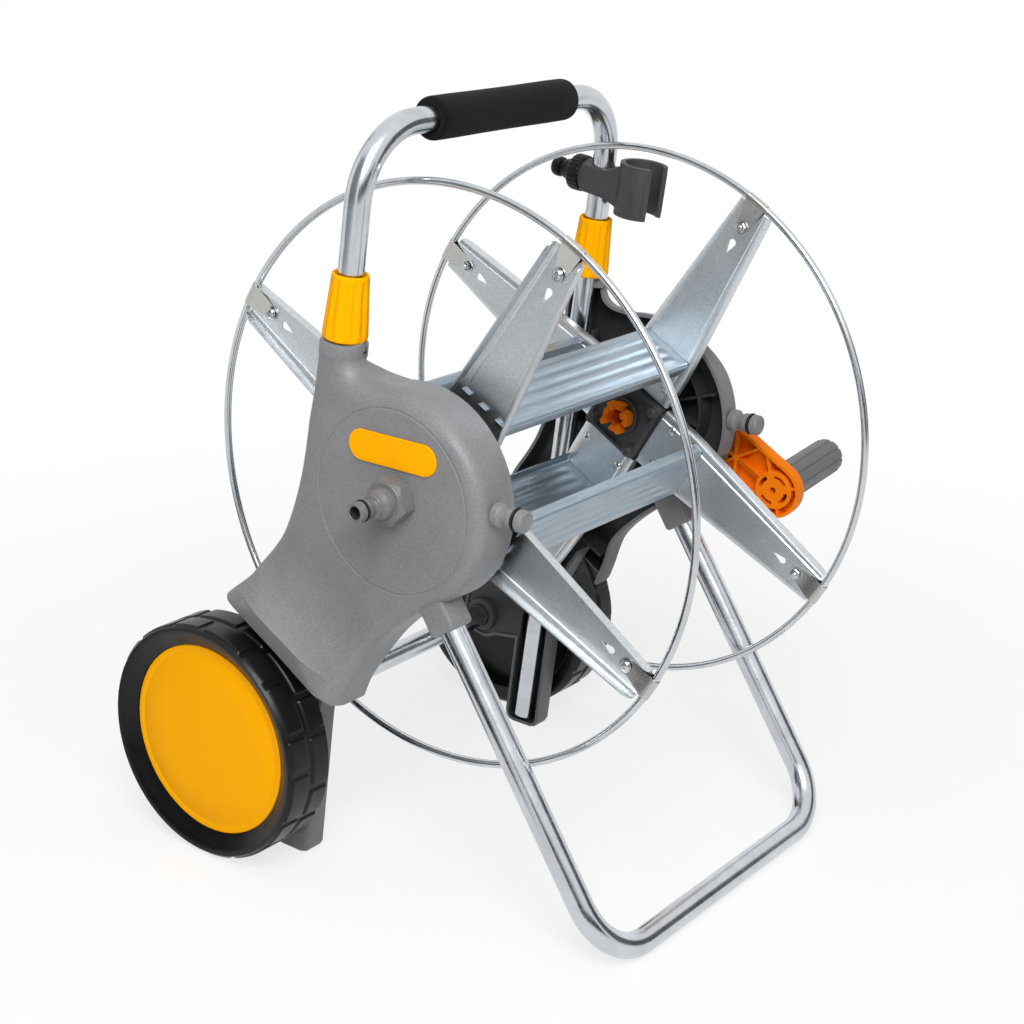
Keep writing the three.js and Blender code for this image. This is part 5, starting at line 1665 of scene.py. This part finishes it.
class BuildFittings(bpy.types.Operator):
    """Builds the inlet, the parking studs, the bushes and the badge."""

    bl_idname = "hose_reel.fittings"
    bl_label = "Fittings"

    def execute(self, context):
        for side, x in (("right", 166), ("left", -160)):
            stud = shift(park_stud(), stud_place(x))
            seal = shift(o_ring(8, 1.2, 98), stud_place(x))
            # The crank side's stud takes the darker copy of the grey: painted shade.
            tone = "shaded" if side == "right" else None
            keep(stud, "stud_" + side, "frame", "grey_plastic", ["park_stud_" + side], finish=tone)
            keep(seal, "stud_seal_" + side, "frame", "seal_rubber", ["stud_ring_" + side])
        keep_pair(shaft_bush(), "shaft_bush", "frame", "dark_plastic", ["bush_*"])
        # The inlet's nut and nozzle take the darker copy of the grey: painted shade.
        nut = shift(inlet_nut(), MIRROR)
        keep(nut, "hose_inlet_nut", "frame", "grey_plastic", ["inlet_nut"], finish="shaded")
        nozzle = shift(inlet_nozzle(), MIRROR)
        keep(nozzle, "hose_inlet_nozzle", "frame", "grey_plastic", ["inlet_nozzle"], finish="shaded")
        seal = shift(shift(o_ring(7.4, 1.05, 215.7), at_axle()), MIRROR)
        keep(seal, "hose_inlet_seal", "frame", "seal_rubber", ["inlet_ring"])
        keep(shift(badge(), MIRROR), "badge_plate", "frame", "yellow_plastic", ["badge"])
        return {"FINISHED"}


class BuildTubes(bpy.types.Operator):
    """Builds the handle with its foam and collars, the stand and the wheel axle."""

    bl_idname = "hose_reel.tubes"
    bl_label = "Handle and Stand"

    def execute(self, context):
        keep(tube(handle_line()), "handle_bar", "handle", "zinc_tube", ["handle_tube"], 50)
        keep(foam_sleeve(), "grip_foam", "handle", "foam", ["foam_grip"], 60)
        keep_pair(twist_collar(), "twist_collar", "collar_*", "yellow_plastic", ["collar_*"], 40)
        keep(tube(stand_line()), "stand_bar", "frame", "zinc_tube", ["stand_tube"], 50)
        ends = [Vector((x, WHEEL_AT.y, WHEEL_AT.z)) for x in (-206, 206)]
        keep(tube(ends), "wheel_axle", "frame", "zinc_tube", ["axle_tube"], 50)
        keep_pair(axle_cap(), "hub_cap", "frame", "plated_steel", ["axle_cap_*"])
        return {"FINISHED"}


class BuildWheels(bpy.types.Operator):
    """Builds the two wheels and their coloured discs."""

    bl_idname = "hose_reel.wheels"
    bl_label = "Wheels"

    def execute(self, context):
        s = in_mm(context.scene.reel_wheel)
        keep_pair(shift(tyre(s), at_wheel()), "tyre", "wheel_*", "tyre", ["wheel_*"])
        disc = shift(wheel_disc(s), at_wheel())
        keep_pair(disc, "wheel_disc", "wheel_*", "yellow_plastic", ["wheel_cap_*"])
        return {"FINISHED"}


class BuildDrum(bpy.types.Operator):
    """Builds the hoops, arms, clips and slats of the drum."""

    bl_idname = "hose_reel.drum"
    bl_label = "Drum"

    def execute(self, context):
        s = in_mm(context.scene.reel_drum)
        hoop = wire([(s.plane, y, z) for y, z in ring(HOOP_RADIUS, 180, 0, AXLE.z)], s.wire, 8, True)
        keep_pair(hoop, "wire_hoop", "drum", "zinc_wire", ["hoop_*"], 60)
        arm, clip, bolt, slat = drum_arm(s), hoop_clip(s), clip_bolt(s), drum_slat(s)
        for i, angle in enumerate(ARM_ANGLES, 1):
            turn, sheet = at_axle(angle), "galvanised_sheet"
            keep_pair(copy_of(arm, turn), f"arm_sheet_{i}", "drum", sheet, [f"arm_{i}_*"])
            clasp = copy_of(clip, turn)
            keep_pair(clasp, f"hoop_clip_{i}", "drum", "plated_steel", [f"clip_{i}_*"], finish="clip")
            keep_pair(copy_of(bolt, turn), f"clip_screw_{i}", "drum", "plated_steel")
            strip = copy_of(slat, turn)
            keep(strip, f"slat_sheet_{i}", "drum", sheet, [f"slat_{i}"], finish="galvanised_strip")
        for spare in (arm, clip, bolt, slat):
            bpy.data.objects.remove(spare)
        hub = shift(hub_plate(s), at_axle(math.pi / 6))
        keep_pair(hub, "hub_square", "drum", "dark_plastic", ["hub_plate_*"])
        screws = shift(hub_screws(s), at_axle(math.pi / 6))
        keep_pair(screws, "hub_screws", "drum", "plated_steel")
        keep(shift(outlet_elbow(), MIRROR), "hose_elbow", "drum", "dark_plastic", ["outlet_elbow"])
        return {"FINISHED"}


class BuildCrank(bpy.types.Operator):
    """Builds the crank, its pin and its turning grip."""

    bl_idname = "hose_reel.crank"
    bl_label = "Crank"

    def execute(self, context):
        keep(crank_arm(), "crank_lever", "drum", "orange_plastic", ["crank_arm"])
        keep(crank_pin(), "crank_axle", "drum", "plated_steel", ["crank_pin"])
        # The black washer stands in for the shade seen through the arm's slots and hole.
        keep(crank_shade_washer(), "crank_shade_washer", "drum", "black_plastic")
        keep(crank_grip(), "crank_knob", "crank_handle", "crank_grip_plastic", ["crank_grip"], 40)
        return {"FINISHED"}


class BuildNozzleHolder(bpy.types.Operator):
    """Builds the nozzle holder and the connector on its back."""

    bl_idname = "hose_reel.nozzle_holder"
    bl_label = "Nozzle Holder"

    def execute(self, context):
        body = "nozzle_holder"
        keep(nozzle_holder(), "nozzle_clip", body, "dark_plastic", ["nozzle_holder"], 40)
        keep(holder_connector(), "quick_connector", body, "black_plastic", ["holder_connector"], 40)
        return {"FINISHED"}


class BuildStage(bpy.types.Operator):
    """Sets up the floor, the lights and the camera."""

    bl_idname = "hose_reel.stage"
    bl_label = "Stage"

    def execute(self, context):
        s = context.scene.reel_stage
        white_world(s)
        pale_floor()
        soft_lamp("key_lamp", (-1.35, -1.0, 1.75), s.key, 1.1, True)
        soft_lamp("top_lamp", (-0.3, 0.1, 2.4), s.top, 1.8)
        soft_lamp("fill_lamp", (1.2, -2.2, 1.0), s.fill, 1.6)
        for i, (azimuth, wide, high, tone) in enumerate(CARDS):
            dark_card(f"card_{i}", azimuth, wide, 0.02, high, tone)
        dark_card("low_card", 157, 0.75, 0.01, 0.17, "26282a", 0.58)
        cart_camera()
        context.scene.view_settings.view_transform = "Standard"
        return {"FINISHED"}


class HoseReelPanel(bpy.types.Panel):
    """Lists the steps that build the cart."""

    bl_idname = "VIEW3D_PT_hose_reel"
    bl_label = "Hose Reel Cart"
    bl_space_type = "VIEW_3D"
    bl_region_type = "UI"
    bl_category = "Hose Reel"

    def draw(self, context):
        for settings in (context.scene.reel_panel, context.scene.reel_drum, context.scene.reel_wheel):
            box = self.layout.box()
            for name in settings.__annotations__:
                box.prop(settings, name)
        for step in STEPS:
            self.layout.operator(step.bl_idname)


SETTINGS = {
    "reel_panel": PanelSettings,
    "reel_drum": DrumSettings,
    "reel_wheel": WheelSettings,
    "reel_colours": ColourSettings,
    "reel_stage": StageSettings,
}
STEPS = [BuildFinishes, BuildSidePanels, BuildFittings, BuildTubes, BuildWheels, BuildDrum, BuildCrank]
STEPS += [BuildNozzleHolder, BuildStage]


def register():
    for part in (*SETTINGS.values(), *STEPS, HoseReelPanel):
        bpy.utils.register_class(part)
    for name, settings in SETTINGS.items():
        setattr(bpy.types.Scene, name, PointerProperty(type=settings))


def unregister():
    for name in SETTINGS:
        delattr(bpy.types.Scene, name)
    for part in (HoseReelPanel, *STEPS[::-1], *SETTINGS.values()):
        bpy.utils.unregister_class(part)


def main():
    register()
    for step in STEPS:
        group, name = step.bl_idname.split(".")
        getattr(getattr(bpy.ops, group), name)()
    deselect()


if __name__ == "__main__":
    main()
